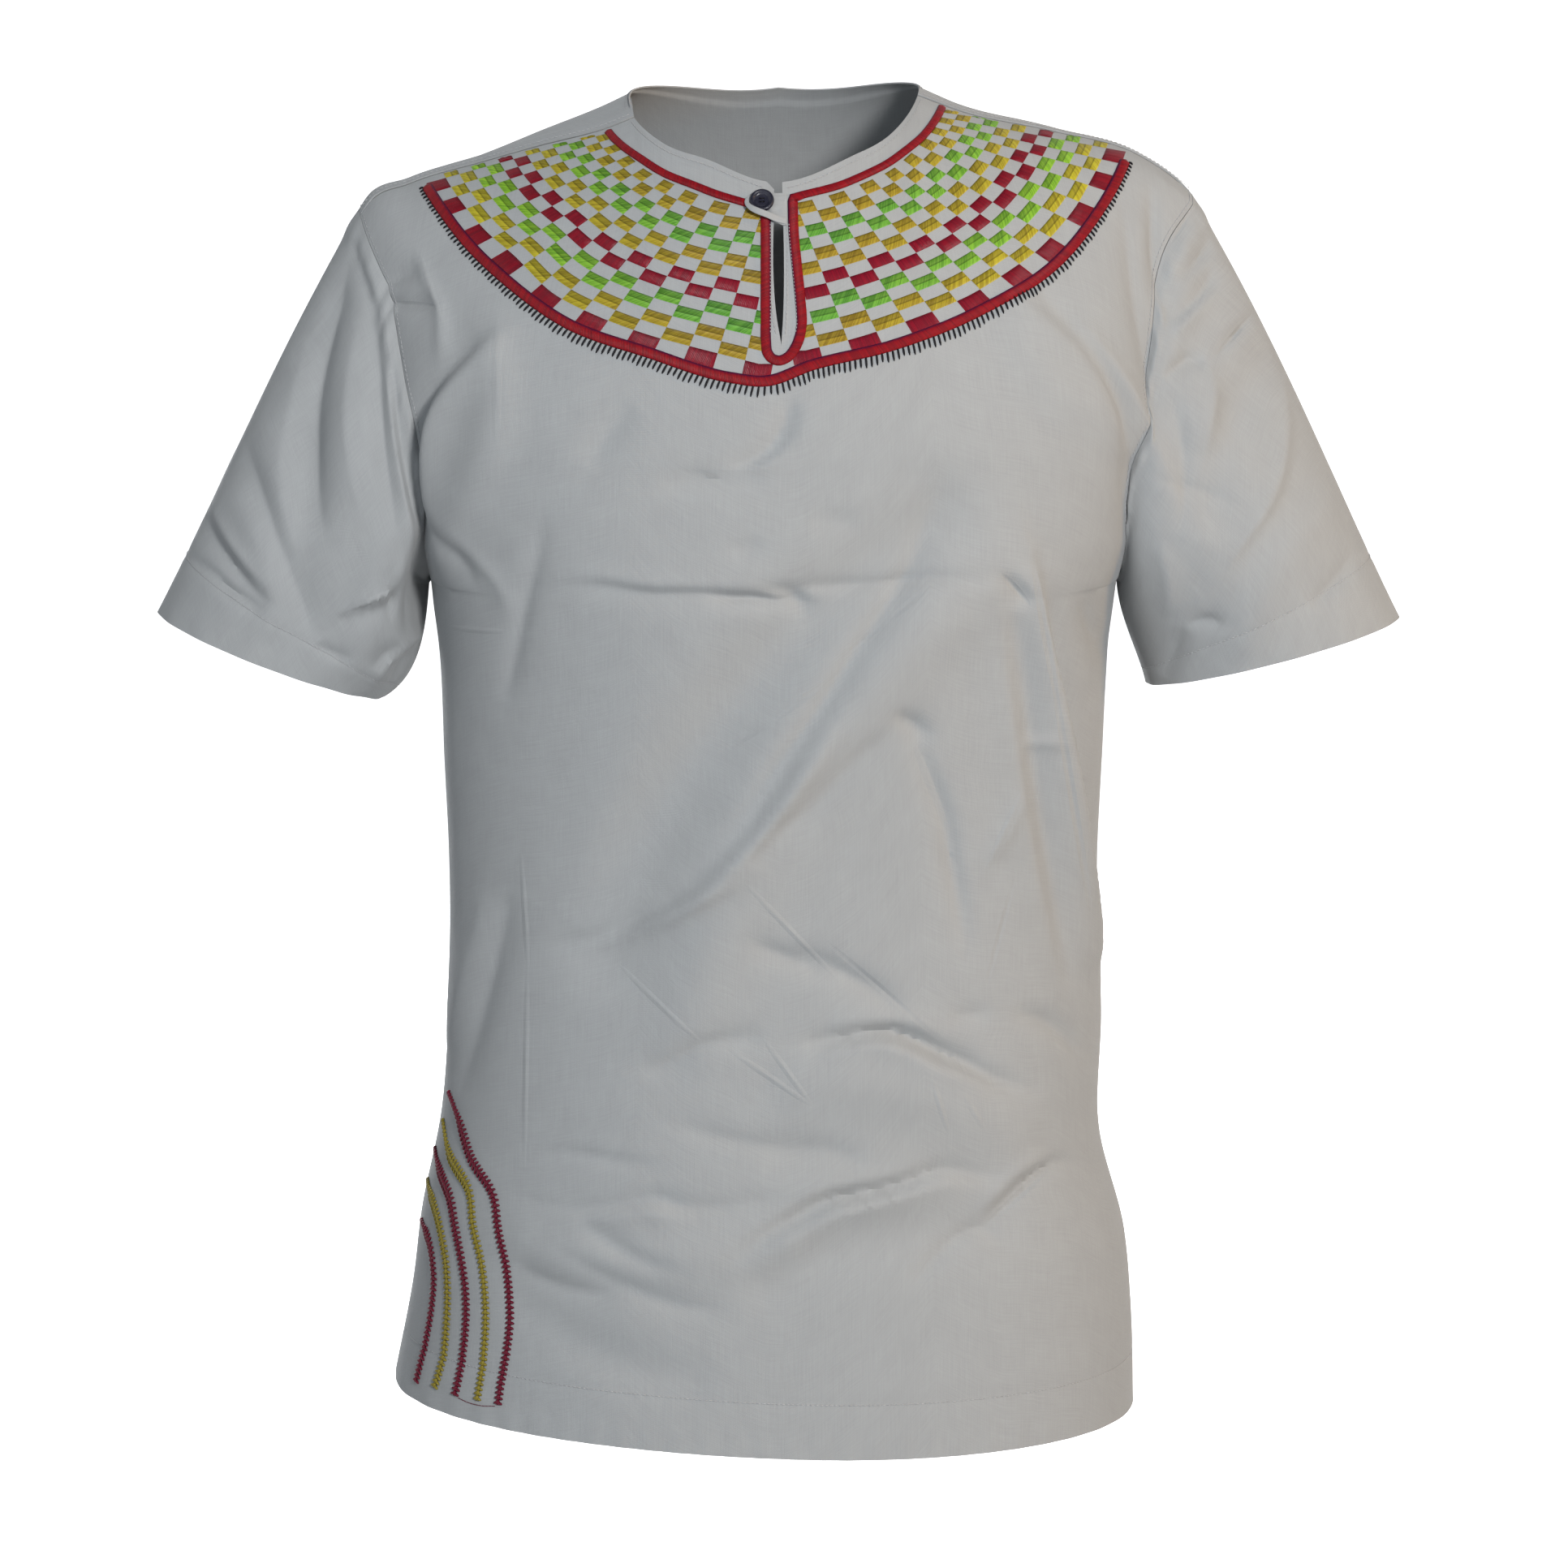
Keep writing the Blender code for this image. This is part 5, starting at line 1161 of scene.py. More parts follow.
# Column, then where its line meets the middle of the first ring and of the last one (x, z, x, z).
COLUMNS_LEFT = (
    (0, 0.0013, -0.0680, -0.0138, -0.1474), (1, -0.0165, -0.0667, -0.0434, -0.1400),
    (2, -0.0343, -0.0642, -0.0740, -0.1322), (3, -0.0511, -0.0589, -0.1016, -0.1228),
    (4, -0.0636, -0.0536, -0.1260, -0.1111), (5, -0.0756, -0.0478, -0.1463, -0.0928),
    (6, -0.0845, -0.0412, -0.1630, -0.0798), (7, -0.0921, -0.0350, -0.1772, -0.0649),
    (8, -0.0967, -0.0292, -0.1852, -0.0551), (9, -0.1010, -0.0238, -0.1915, -0.0460),
)
COLUMNS_RIGHT = (
    (0, -0.0057, -0.0665, 0.0119, -0.1403), (1, 0.0119, -0.0636, 0.0424, -0.1329),
    (2, 0.0295, -0.0593, 0.0730, -0.1229), (3, 0.0459, -0.0535, 0.1001, -0.1124),
    (4, 0.0590, -0.0476, 0.1231, -0.0993), (5, 0.0689, -0.0403, 0.1409, -0.0870),
    (6, 0.0776, -0.0324, 0.1584, -0.0688), (7, 0.0838, -0.0261, 0.1696, -0.0518),
    (8, 0.0876, -0.0207, 0.1769, -0.0395), (9, 0.0908, -0.0158, 0.1825, -0.0285),
)
BLOCK_HIGH, BLOCK_STAND, SHORTEST_BLOCK = 0.00045, 0.00010, 0.0020
BLOCK_ACROSS, BLOCK_DOWN = 4, 2
BLOCK_HALF = 0.25       # half a block's width, in columns
OUTER_REACH = 0.95      # the last ring runs on under the yoke cord
SEAM_CLEAR = 0.012      # the blocks stop this much of h short of the shoulder seam


def yoke_place(columns, column, ring):
    """The seen place (x, z) of a column and ring number; both may be fractions."""
    share = (ring - 1) / (len(RING_THREADS) - 1)
    inner_x, inner_z, outer_x, outer_z = (read(columns, k, column) for k in (1, 2, 3, 4))
    return inner_x + (outer_x - inner_x) * share, inner_z + (outer_z - inner_z) * share


def slit_cord_x(z, side):
    """Where the slit cord's left or right leg runs at a height, or the middle where there is none."""
    route = np.array(SLIT_CORD)
    bottom = int(route[:, 1].argmin())
    leg = route[:bottom + 1] if side < 0 else route[bottom:]
    leg = leg[leg[:, 1].argsort()]
    return np.where(z < leg[0, 1], leg[0, 0], np.interp(z, leg[:, 1], leg[:, 0]))


beside_neck = NECK_SHARE + 0.001
seam_places = np.concatenate([np.linspace(-1, -beside_neck, 40), np.linspace(beside_neck, 1, 40)])
seam_s, seam_h = column_tops(seam_places, -1)


def block_mesh(thread):
    """The flat patches of all the blocks of one colour, on the cloth, with their places on each block."""
    points, faces, cell_uv, thread_uv = [], [], [], []
    last_column = len(COLUMNS_LEFT) - 1
    for side, columns in ((-1, COLUMNS_LEFT), (1, COLUMNS_RIGHT)):
        for ring, colour in enumerate(RING_THREADS, start=1):
            if colour != thread:
                continue
            for number in range(last_column + 1):
                middle_column = number if ring % 2 else number + 0.5
                if middle_column - BLOCK_HALF > last_column - 0.1:
                    continue
                across = np.linspace(-BLOCK_HALF, BLOCK_HALF, BLOCK_ACROSS + 1) + middle_column
                last = OUTER_REACH if ring == len(RING_THREADS) else 0.5
                down = np.linspace(last, -0.5, BLOCK_DOWN + 1) + ring
                x, z = yoke_place(columns, np.clip(across, 0, last_column)[None, :], down[:, None])
                if middle_column < BLOCK_HALF:
                    # The block across the middle line runs on past it, at the first columns' spacing.
                    first_x = yoke_place(columns, np.array([0.0, 0.5]), float(ring))[0]
                    x = x + (first_x[1] - first_x[0]) * 2 * np.minimum(across, 0)[None, :]
                limit = slit_cord_x(z, side)
                beyond = (x - limit) * side
                if z.max() > SLIT_CORD_END_Z:
                    x = np.where(beyond < 0, limit, x)
                    clear = (np.abs(x - limit) - SLIT_CORD_WIDE / 2).max()
                    if clear < SHORTEST_BLOCK:
                        continue
                s, h = on_front(x, z)
                top = np.interp(s, seam_s, seam_h) - SEAM_CLEAR
                if (h > top).all():
                    continue
                h = np.minimum(h, top)
                ground, normals = body(s, h)
                start = len(points)
                points.extend((ground + normals * BLOCK_STAND).reshape(-1, 3))
                wide = np.linalg.norm(ground[0, -1] - ground[0, 0])
                tall = np.linalg.norm(ground[-1, 0] - ground[0, 0])
                row = BLOCK_ACROSS + 1
                for i in range(BLOCK_DOWN):
                    for j in range(BLOCK_ACROSS):
                        corner = [(i, j), (i, j + 1), (i + 1, j + 1), (i + 1, j)]
                        if side < 0:
                            corner = corner[::-1]
                        faces.append([start + a * row + b for a, b in corner])
                        cell_uv += [(b / BLOCK_ACROSS, a / BLOCK_DOWN) for a, b in corner]
                        thread_uv += [((number * 31 + ring * 17) * 0.01 + b / BLOCK_ACROSS * wide * -side,
                                       a / BLOCK_DOWN * tall) for a, b in corner]
    mesh = bpy.data.meshes.new("blocks")
    mesh.from_pydata([tuple(map(float, point)) for point in points], [], faces)
    add_uv(mesh, "cell", cell_uv)
    add_uv(mesh, "thread", thread_uv)
    return mesh


def raised_satin_tree():
    """Raises each block of a mesh into one or two padded ridges of satin stitches."""
    tree, given, out = new_tree(
        "raised satin blocks", "GeometryNodeTree",
        {"Geometry": ("Geometry",), "Thickness": ("Float", 0.0004), "Ridges": ("Float", 2.0),
         "Refine": ("Int", 2), "Thread": ("Material",)}, {"Geometry": ("Geometry",)})
    n = add_nodes(
        tree,
        fine=("GeometryNodeSubdivideMesh", {}, {0: given["Geometry"], 1: given["Refine"]}),
        cell=("GeometryNodeInputNamedAttribute", {"data_type": "FLOAT_VECTOR"}, {0: "cell"}),
        split=parted(("cell", 0)),
        centred=maths("MULTIPLY_ADD", ("split", 0), 2.0, -1.0),
        end=maths("POWER", ("centred", 0), 8.0),
        ends=maths("SUBTRACT", 1.0, ("end", 0)),
        turn=maths("MULTIPLY", ("split", 1), math.pi),
        turns=maths("MULTIPLY", ("turn", 0), given["Ridges"]),
        wave=maths("SINE", ("turns", 0)),
        ridge=maths("ABSOLUTE", ("wave", 0)),
        soft=maths("POWER", ("ridge", 0), 0.6),
        shape=maths("MULTIPLY", ("soft", 0), ("ends", 0)),
        high=maths("MULTIPLY", ("shape", 0), given["Thickness"]),
        normal=("GeometryNodeInputNormal", {}, {}),
        move=("ShaderNodeVectorMath", {"operation": "SCALE"}, {0: ("normal", 0), "Scale": ("high", 0)}),
        set=("GeometryNodeSetPosition", {}, {0: ("fine", 0), "Offset": ("move", 0)}),
        smooth=("GeometryNodeSetShadeSmooth", {}, {0: ("set", 0)}),
        real=("GeometryNodeRealizeInstances", {}, {0: ("smooth", 0)}),
        paint=("GeometryNodeSetMaterial", {}, {0: ("real", 0), "Material": given["Thread"]}),
    )
    tree.links.new(n["paint"].outputs[0], out[0])
    return tree


def grow(name, mesh, tree, **inputs):
    """A piece made from a mesh by a Geometry Nodes tree, as a plain mesh."""
    seed = add_object(name + "_seed", mesh)
    modifier = seed.modifiers.new("grown", "NODES")
    modifier.node_group = tree
    for item in tree.interface.items_tree:
        if item.item_type == "SOCKET" and item.in_out == "INPUT" and item.name.replace(" ", "_") in inputs:
            modifier[item.identifier] = inputs[item.name.replace(" ", "_")]
    bpy.context.view_layer.update()
    grown = bpy.data.meshes.new_from_object(seed.evaluated_get(bpy.context.evaluated_depsgraph_get()))
    grown.name = name
    bpy.data.objects.remove(seed)
    return add_object(name, grown)


def block_thread(name, light, dark, painted_light_shades, slant, tints):
    """Satin thread for the blocks. Its ramp, from the block's lower to its upper edge, paints light and shade
    into the colour. The gold and green blocks are painted lighter toward the lower edge, with a pale painted
    highlight along it, and get painted shade in the split between their two ridges. All blocks get painted
    shade along the upper edge. `tints` turn it from the middle of the yoke to its shoulders. On gold and
    green the shoulder tint is yellower and also lighter, a painted highlight."""
    made = satin(name, light, dark, slant, roughness=0.33)
    tree = made.node_tree
    shader = tree.nodes["Principled BSDF"]
    source = shader.inputs["Base Color"].links[0].from_socket
    n = add_nodes(
        tree,
        cell=("ShaderNodeUVMap", {"uv_map": "cell"}, {}),
        split=parted(("cell", 0)),
        shade=("ShaderNodeValToRGB", {}, {0: ("split", 1)}),
        shaded=mixed(1.0, source, ("shade", 0), blend_type="MULTIPLY"),
        at=("ShaderNodeTexCoord", {}, {}),
        at_split=parted(("at", 3)),
        outward=maths("ABSOLUTE", ("at_split", 0)),
        patch=noise(("at", 3), 60.0, 1.0),
        uneven=maths("MULTIPLY_ADD", ("patch", 0), 0.05, ("outward", 0)),
        # Toward the shoulders the tint changes the thread. On gold and green it is yellower and lighter
        # there, and the lighter part is a painted highlight.
        turn=("ShaderNodeMapRange", {}, {0: ("uneven", 0), 1: 0.06, 2: 0.185}),
        tint=mixed(("turn", 0), (*tints[0], 1), (*tints[1], 1)),
        paint=mixed(1.0, ("shaded", 2), ("tint", 2), blend_type="MULTIPLY"),
    )
    ramp = n["shade"].color_ramp
    while len(ramp.elements) < len(painted_light_shades):
        ramp.elements.new(0.5)
    for element, (place, colour) in zip(ramp.elements, painted_light_shades):
        element.position, element.color = place, (*colour, 1)
    tree.links.new(n["paint"].outputs[2], shader.inputs["Base Color"])
    return made


raised_satin = raised_satin_tree()
# The gold and green blocks' ramp, from lower edge to upper: a pale painted highlight along the lower edge,
# the lower ridge lit, painted shade in the split between the ridges, the upper ridge shaded, and painted
# shade along the upper edge. The red ramp paints a purple shade along the upper edge.
pale, plain, split_painted_shade, upper, edge_painted_shade = 1.12, 0.82, 0.34, 0.60, 0.26
painted_light_shades = ((0.0, (pale, pale, pale)), (0.10, (plain,) * 3), (0.42, (0.95,) * 3), (0.50, (split_painted_shade,) * 3),
          (0.60, (upper,) * 3), (0.86, (upper,) * 3), (1.0, (edge_painted_shade,) * 3))
red_painted_shade = ((0.0, (0.95, 0.9, 0.9)), (0.2, (1.0,) * 3), (0.8, (0.9, 0.85, 0.95)), (1.0, (0.45, 0.35, 0.6)))
for thread, light, dark, painted_light_and_shade, slant, ridges, tints in (
        ("gold", (0.52, 0.45, 0.045), (0.165, 0.108, 0.010), painted_light_shades, 0.9, 2.0,
         ((0.92, 0.77, 0.74), (1.20, 1.24, 0.84))),
        ("green", (0.31, 0.55, 0.066), (0.035, 0.165, 0.014), painted_light_shades, 0.9, 2.0,
         ((0.57, 0.84, 0.95), (1.24, 1.20, 0.70))),
        ("red", (0.245, 0.003, 0.016), (0.085, 0.002, 0.011), red_painted_shade, 0.0, 1.0,
         ((1.0, 1.0, 1.0), (0.95, 0.7, 0.7)))):
    finish = block_thread(thread + "_block_thread", light, dark, painted_light_and_shade, slant, tints)
    blocks = grow("yoke_blocks_" + thread, block_mesh(thread), raised_satin, Thickness=BLOCK_HIGH,
                  Ridges=ridges, Refine=2, Thread=finish)
    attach(blocks, "root")


# ---- Black comb stitches -----------------------------------------------------
# Short straight stitches of black thread, side by side all along the outside of the yoke cord and
# square to it, like the teeth of a comb. Each is one thread that goes down through the cloth.
# From tooth to tooth, a tooth's length, its thread, how far from the cord's middle it starts, and its stand.
COMB_PITCH, COMB_LONG, COMB_THREAD, COMB_FROM, COMB_STAND = 0.0029, 0.0064, 0.00118, 0.0018, 0.00025
# How far the teeth lean along the cord, the shortest tooth's share, and over what share of the way it grows.
COMB_LEAN, COMB_SHORT, COMB_GROW = 0.16, 0.48, 0.30


def thread_stitch_tree():
    """Lays one rounded stitch at every point of a mesh, along `along`, with `out` upward."""
    tree, given, out = new_tree(
        "laid stitches", "GeometryNodeTree",
        {"Geometry": ("Geometry",), "Thread width": ("Float", 0.0005), "Rise": ("Float", 0.5),
         "Uneven": ("Float", 0.1), "Seed": ("Int", 3), "Thread": ("Material",)}, {"Geometry": ("Geometry",)})
    n = add_nodes(
        tree,
        tube=("GeometryNodeMeshCylinder", {"fill_type": "NGON"}, {"Vertices": 6, "Side Segments": 5,
              "Radius": 0.5, "Depth": 1.0}),
        place=("GeometryNodeInputPosition", {}, {}),
        split=parted(("place", 0)),
        doubled=maths("MULTIPLY", ("split", 2), 2.0),
        squared=maths("POWER", ("doubled", 0), 2.0),
        fourth=maths("POWER", ("squared", 0), 2.0),
        taper=maths("MULTIPLY_ADD", ("fourth", 0), -0.6, 1.0),
        arch=maths("SUBTRACT", 1.0, ("squared", 0)),
        lift=maths("MULTIPLY", ("arch", 0), given["Rise"]),
        wide=maths("MULTIPLY", ("split", 1), ("taper", 0)),
        high=maths("MULTIPLY_ADD", ("split", 0), ("taper", 0), ("lift", 0)),
        bent=("ShaderNodeCombineXYZ", {}, {0: ("split", 2), 1: ("wide", 0), 2: ("high", 0)}),
        stitch=("GeometryNodeSetPosition", {}, {0: ("tube", 0), "Position": ("bent", 0)}),
        along=("GeometryNodeInputNamedAttribute", {"data_type": "FLOAT_VECTOR"}, {0: "along"}),
        outward=("GeometryNodeInputNamedAttribute", {"data_type": "FLOAT_VECTOR"}, {0: "out"}),
        length=("GeometryNodeInputNamedAttribute", {"data_type": "FLOAT"}, {0: "length"}),
        turn=("FunctionNodeAxesToRotation", {"primary_axis": "Z", "secondary_axis": "X"},
              {0: ("outward", 0), 1: ("along", 0)}),
        least=maths("SUBTRACT", 1.0, given["Uneven"]),
        vary=("FunctionNodeRandomValue", {"data_type": "FLOAT"}, {"Min": 0.9, "Max": 1.0,
              "Seed": given["Seed"]}),
        longer=maths("MULTIPLY", ("length", 0), ("vary", 1)),
        size=("ShaderNodeCombineXYZ", {}, {0: ("longer", 0), 1: given["Thread width"],
              2: given["Thread width"]}),
        lay=("GeometryNodeInstanceOnPoints", {}, {"Points": given["Geometry"],
             "Instance": ("stitch", 0), "Rotation": ("turn", 0), "Scale": ("size", 0)}),
        real=("GeometryNodeRealizeInstances", {}, {0: ("lay", 0)}),
        smooth=("GeometryNodeSetShadeSmooth", {}, {0: ("real", 0)}),
        paint=("GeometryNodeSetMaterial", {}, {0: ("smooth", 0), "Material": given["Thread"]}),
    )
    lowest = [socket for socket in n["vary"].inputs if socket.name == "Min" and socket.type == "VALUE"][0]
    tree.links.new(n["least"].outputs[0], lowest)
    tree.links.new(n["paint"].outputs[0], out[0])
    return tree


laid_stitches = thread_stitch_tree()


def stitch_points(name, middles, along, out, lengths):
    """A mesh of points that the stitch tree reads: each stitch's middle, direction, outside and length."""
    mesh = bpy.data.meshes.new(name)
    mesh.from_pydata(middles.tolist(), [], [])
    for label, kind, values in (("along", "FLOAT_VECTOR", unit(along)), ("out", "FLOAT_VECTOR", unit(out)),
                                ("length", "FLOAT", np.broadcast_to(lengths, len(middles)))):
        field = "value" if kind == "FLOAT" else "vector"
        mesh.attributes.new(label, kind, "POINT").data.foreach_set(field, values.astype(np.float32).ravel())
    return mesh


def even_walk(points, out, pitch):
    """Places every `pitch` along a line of points, their outward and forward directions, and their share
    of the way."""
    walked = walk_along(points)
    at = np.arange(pitch / 2, walked[-1], pitch)
    picked = [np.stack([np.interp(at, walked, values[:, k]) for k in range(3)], axis=-1)
              for values in (points, out, unit(np.gradient(points, axis=0)))]
    return *picked, at / walked[-1]


def cotton_thread(name, colour, roughness=0.6):
    """Twisted sewing thread: fine light and dark turns along it."""
    made, tree, shader = new_finish(name)
    n = add_nodes(
        tree,
        place=("ShaderNodeTexCoord", {}, {}),
        fibre=noise(("place", 3), 2600.0, 2.0),
        colour=mixed(("fibre", 0), (*[c * 0.6 for c in colour], 1), (*[min(c * 1.35, 1) for c in colour], 1)),
        bump=("ShaderNodeBump", {}, {"Strength": 0.5, "Distance": 0.0002, "Height": ("fibre", 0)}),
    )
    fill(shader, {"Base Color": n["colour"].outputs[2], "Normal": n["bump"].outputs[0],
                  "Roughness": roughness, "Specular IOR Level": 0.14})
    return made


black_thread = cotton_thread("black_thread", (0.004, 0.004, 0.006), 0.6)
ground, out = body(yoke_route[:, 0], yoke_route[:, 1])
middles, normals, along, share = even_walk(ground, out, COMB_PITCH)
outward = unit(np.cross(along, normals))
outward *= np.sign(-outward[len(outward) // 2, 2])
lean = unit(outward - COMB_LEAN * along)
from_end = np.clip(np.minimum(share, 1 - share) / COMB_GROW, 0, 1)
lengths = COMB_LONG * (COMB_SHORT + (1 - COMB_SHORT) * from_end)
lengths = lengths * (0.9 + 0.2 * np.abs(np.sin(np.arange(len(share)) * 2.4)))
middles = middles + lean * (COMB_FROM + lengths / 2)[:, None]
s, h = on_front(middles[:, 0], middles[:, 2])
middles, normals = body(s, h)
middles = middles + normals * COMB_STAND
comb = grow("comb_stitches", stitch_points("comb", middles, lean, normals, lengths), laid_stitches,
            Thread_width=COMB_THREAD, Rise=0.35, Uneven=0.12, Seed=11, Thread=black_thread)
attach(comb, "root")


# ---- Five side lines ---------------------------------------------------------
# Five lines of feather stitch sweep from the left side down to the hem, red and gold in turn. Each is
# a row of backstitches with slanted teeth to both sides. A loose red thread links their lower ends.
# Thread, width across the teeth, then the route: where it starts (x, z), and each step onward.
SIDE_LINES = (
    ("red", 46, -1850, -5538, 69, -112, 84, -185, 127, -161, 28, -162, 37, -184, 13, -195, 8, -126, -13,
     -167, -27, -158, -19, -134),
    ("gold", 42, -1877, -5705, 52, -153, 114, -136, 30, -193, 42, -181, 19, -202, 4, -180, -14, -195, -28,
     -176),
    ("red", 44, -1921, -5891, 46, -87, 53, -84, 36, -153, 30, -154, 24, -186, 4, -166, -18, -210, -37,
     -192),
    ("gold", 40, -1960, -6074, 65, -119, 42, -167, 16, -186, 0, -193, -14, -195, -52, -188),
    ("red", 38, -1995, -6285, 40, -50, 34, -151, -5, -193, -28, -202, -58, -249),
)
# A tooth's length and how far out its middle is, as shares of the width and of its length, and its lean.
TOOTH_PITCH, TOOTH_LONG, TOOTH_SEAT, TOOTH_LEAN = 0.0028, 0.56, 0.46, 0.30
TOOTH_STAND, SPINE_STAND, SPINE_APART = 0.0003, 0.0005, 0.0003
for thread, colour in (("red", (0.105, 0.003, 0.016)), ("gold", (0.22, 0.175, 0.022))):
    finish = cotton_thread(thread + "_side_thread", colour, 0.42)
    parts = []
    for line_thread, wide, *route in SIDE_LINES:
        if line_thread != thread:
            continue
        places = smooth_route(route_places(route), 0.0015)
        ground, out = body(*on_front(places[:, 0], places[:, 1]))
        middles, normals, along, share = even_walk(ground, out, TOOTH_PITCH)
        across = unit(np.cross(normals, along))
        # The teeth are a little longer where the side turns away, and hardly show at the line's plain top.
        grow_in = np.clip((share - 0.02) / 0.14, 0.45, 1) / np.clip(-normals[:, 1], 0.55, 1)
        lengths = wide / TENTHS * TOOTH_LONG * grow_in
        spine_lengths = np.full(len(middles), TOOTH_PITCH * 1.2)
        for turn in (-1, 1):
            direction = unit(across * turn + along * TOOTH_LEAN)
            seats = middles + direction * (lengths * TOOTH_SEAT)[:, None] + normals * TOOTH_STAND
            spine = middles + across * turn * SPINE_APART + normals * SPINE_STAND
            parts += [(seats, direction, normals, lengths), (spine, along, normals, spine_lengths)]
    points = stitch_points("side", *[np.concatenate(values) for values in zip(*parts)])
    line = grow("side_lines_" + thread, points, laid_stitches, Thread_width=0.0016, Rise=0.25, Uneven=0.12,
                Seed=5, Thread=finish)
    if thread == "red":
        red_side_thread = finish
    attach(line, "root")

# The loose thread's route (x, z).
LINK_THREAD = ((-0.1765, -0.7128), (-0.1712, -0.7141), (-0.1640, -0.7143), (-0.1560, -0.7133))
places = smooth_route(LINK_THREAD, 0.0008)
ground, out = body(*on_front(places[:, 0], places[:, 1]))
middles, normals, along, _ = even_walk(ground, out, 0.0022)
link = grow("side_link_thread", stitch_points("link", middles + normals * 0.0002, along, normals, 0.0026),
            laid_stitches, Thread_width=0.00040, Rise=0.2, Uneven=0.05, Seed=8, Thread=red_side_thread)
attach(link, "root")


# ---- Topstitching and seam stitches ------------------------------------------
# Grey sewing thread, 2.6 mm to a stitch: along the neck edge, down both sides of the slit, on the
# shoulder seams and armholes, and round the turned-up hems of the body and the cuffs. Shorter ones
# show along the inner edge of the slit's cord.
STITCH_PITCH, STITCH_LONG, STITCH_THREAD = 0.0026, 0.0021, 0.00042
EDGE_PITCH, EDGE_LONG = 0.0019, 0.0010
STITCH_IN, SEAM_ENDS = 0.0022, 0.002    # how far from an edge or seam the lines run, and short of its ends
# The heights between which the slit and its cord are stitched, and how far in from their edges.
SLIT_STITCHES, SLIT_STITCH_IN = (-0.064, -0.129), 0.0018
CORD_STITCHES, CORD_STITCH_IN = (-0.072, -0.128), 0.0003
grey_thread = cotton_thread("grey_sewing_thread", (0.42, 0.42, 0.43), 0.6)
lines = {"neck": [], "shoulders": [], "armholes": [], "hem": [], "cuffs": [], "cord": []}
for side in (-1, 1):
    # The neck edge, 2 mm in, from the slit to the shoulder seam and on behind to the middle of the back.
    corner = neck_corner[side]
    first = 5.5 if side < 0 else 3.0
    for degrees in (np.linspace(first, corner - 1, 60), np.linspace(corner + 1, 179.9, 80)):
        angle = np.radians(degrees)
        radius = read(NECK, 1 if side < 0 else 2, degrees) + STITCH_IN
        places = under_plan(NECK_X + side * radius * np.sin(angle), -radius * np.cos(angle))
        lines["neck"].append(body(*places))
    heights = np.linspace(*SLIT_STITCHES, 40)
    edge_x = read(SLIT, 1 if side < 0 else 2, heights) + side * SLIT_STITCH_IN
    lines["neck"].append(body(*on_front(edge_x, heights)))
    heights = np.linspace(*CORD_STITCHES, 40)
    edge_x = slit_cord_x(heights, side) - side * (SLIT_CORD_WIDE * 0.5 - CORD_STITCH_IN)
    ground, out = body(*on_front(edge_x, heights))
    lines["cord"].append((ground + out * CORD_HIGH * 0.5, out))
    # The shoulder seam, 2 mm behind the join, on the lapped back panel.
    ends = (neck_plan(neck_corner[side], side)[0] + side * SEAM_ENDS, armhole_top[side] - side * SEAM_ENDS)
    x = np.linspace(*ends, 60)
    ground, out = body(*under_plan(x, -read(SEAM_FORWARD, 1, x) + STITCH_IN))
    lines["shoulders"].append((ground + out * LAP_HIGH, out))
    # The armhole, 2 mm in from the seam, on both panels.
    for panel in (front_panel, back_panel):
        edge, beside = (0, 2) if side < 0 else (-1, -3)
        on_edge = panel["points"][2:UNDERARM_ROW - 3, edge]
        inner = panel["points"][2:UNDERARM_ROW - 3, beside]
        gap = np.linalg.norm(inner - on_edge, axis=1, keepdims=True)
        lines["armholes"].append((on_edge + (inner - on_edge) * np.minimum(STITCH_IN / gap, 1.0),
                                  panel["normals"][2:UNDERARM_ROW - 3, beside]))
for facing in (-1, 1):
    across = np.linspace(-0.995, 0.995, 200)
    hem_h = facing * (1 + (CHEST_Z - (HEM_Z + BODY_HEM)) / (CHEST_Z - HEM_Z))
    lines["hem"].append(body(across, np.full(len(across), hem_h)))
for name, rings in sleeves.items():
    ring = rings[ROWS_SLEEVE - CUFF_ROWS]
    ring = np.concatenate([ring, ring[:1]])
    centre = ring.mean(axis=0)
    along = unit(np.gradient(ring, axis=0))
    axis = unit(rings[-1].mean(axis=0) - rings[-8].mean(axis=0))
    out = np.cross(along, axis)
    out *= np.sign((out * (ring - centre)).sum())
    lines["cuffs"].append((ring, unit(out)))
for name, made in lines.items():
    parts = []
    pitch, long = (EDGE_PITCH, EDGE_LONG) if name == "cord" else (STITCH_PITCH, STITCH_LONG)
    for ground, out in made:
        middles, normals, along, _ = even_walk(ground, out, pitch)
        parts.append((middles + unit(normals) * 0.00012, along, normals))
    points = stitch_points(name, *[np.concatenate(values) for values in zip(*parts)], long)
    stitches = grow("stitches_" + name, points, laid_stitches, Thread_width=STITCH_THREAD, Rise=0.45,
                    Uneven=0.12, Seed=2, Thread=grey_thread)
    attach(stitches, "root")


# ---- Button and its tab ------------------------------------------------------
# A 13 mm black plastic button with a dished face and four holes, sewn on with black thread. A tab of
# the shirt's cloth runs from the slit's right edge; its buttonhole's lower lip is pulled over the rim.
BUTTON_AT, BUTTON_STAND, BUTTON_SIDES = (-0.0116, -0.0614), 0.0019, 56
HOLE_OUT, HOLE_RADIUS, HOLE_SIDES = 0.00135, 0.00048, 14
DRILL_ENDS = (0.004, -0.002)    # heights; each hole is cut right through
# Half the button's outline, from the middle of its face to the middle of its back (radius, height).
BUTTON_OUTLINE = (
    (0.0000, 0.00150), (0.0020, 0.00150), (0.0034, 0.00154), (0.0040, 0.00172), (0.0044, 0.00212),
    (0.0048, 0.00244), (0.0053, 0.00260), (0.0058, 0.00250), (0.0062, 0.00218), (0.0064, 0.00170),
    (0.0065, 0.00115), (0.0064, 0.00065), (0.0061, 0.00028), (0.0055, 0.00008), (0.0000, 0.00000),
)
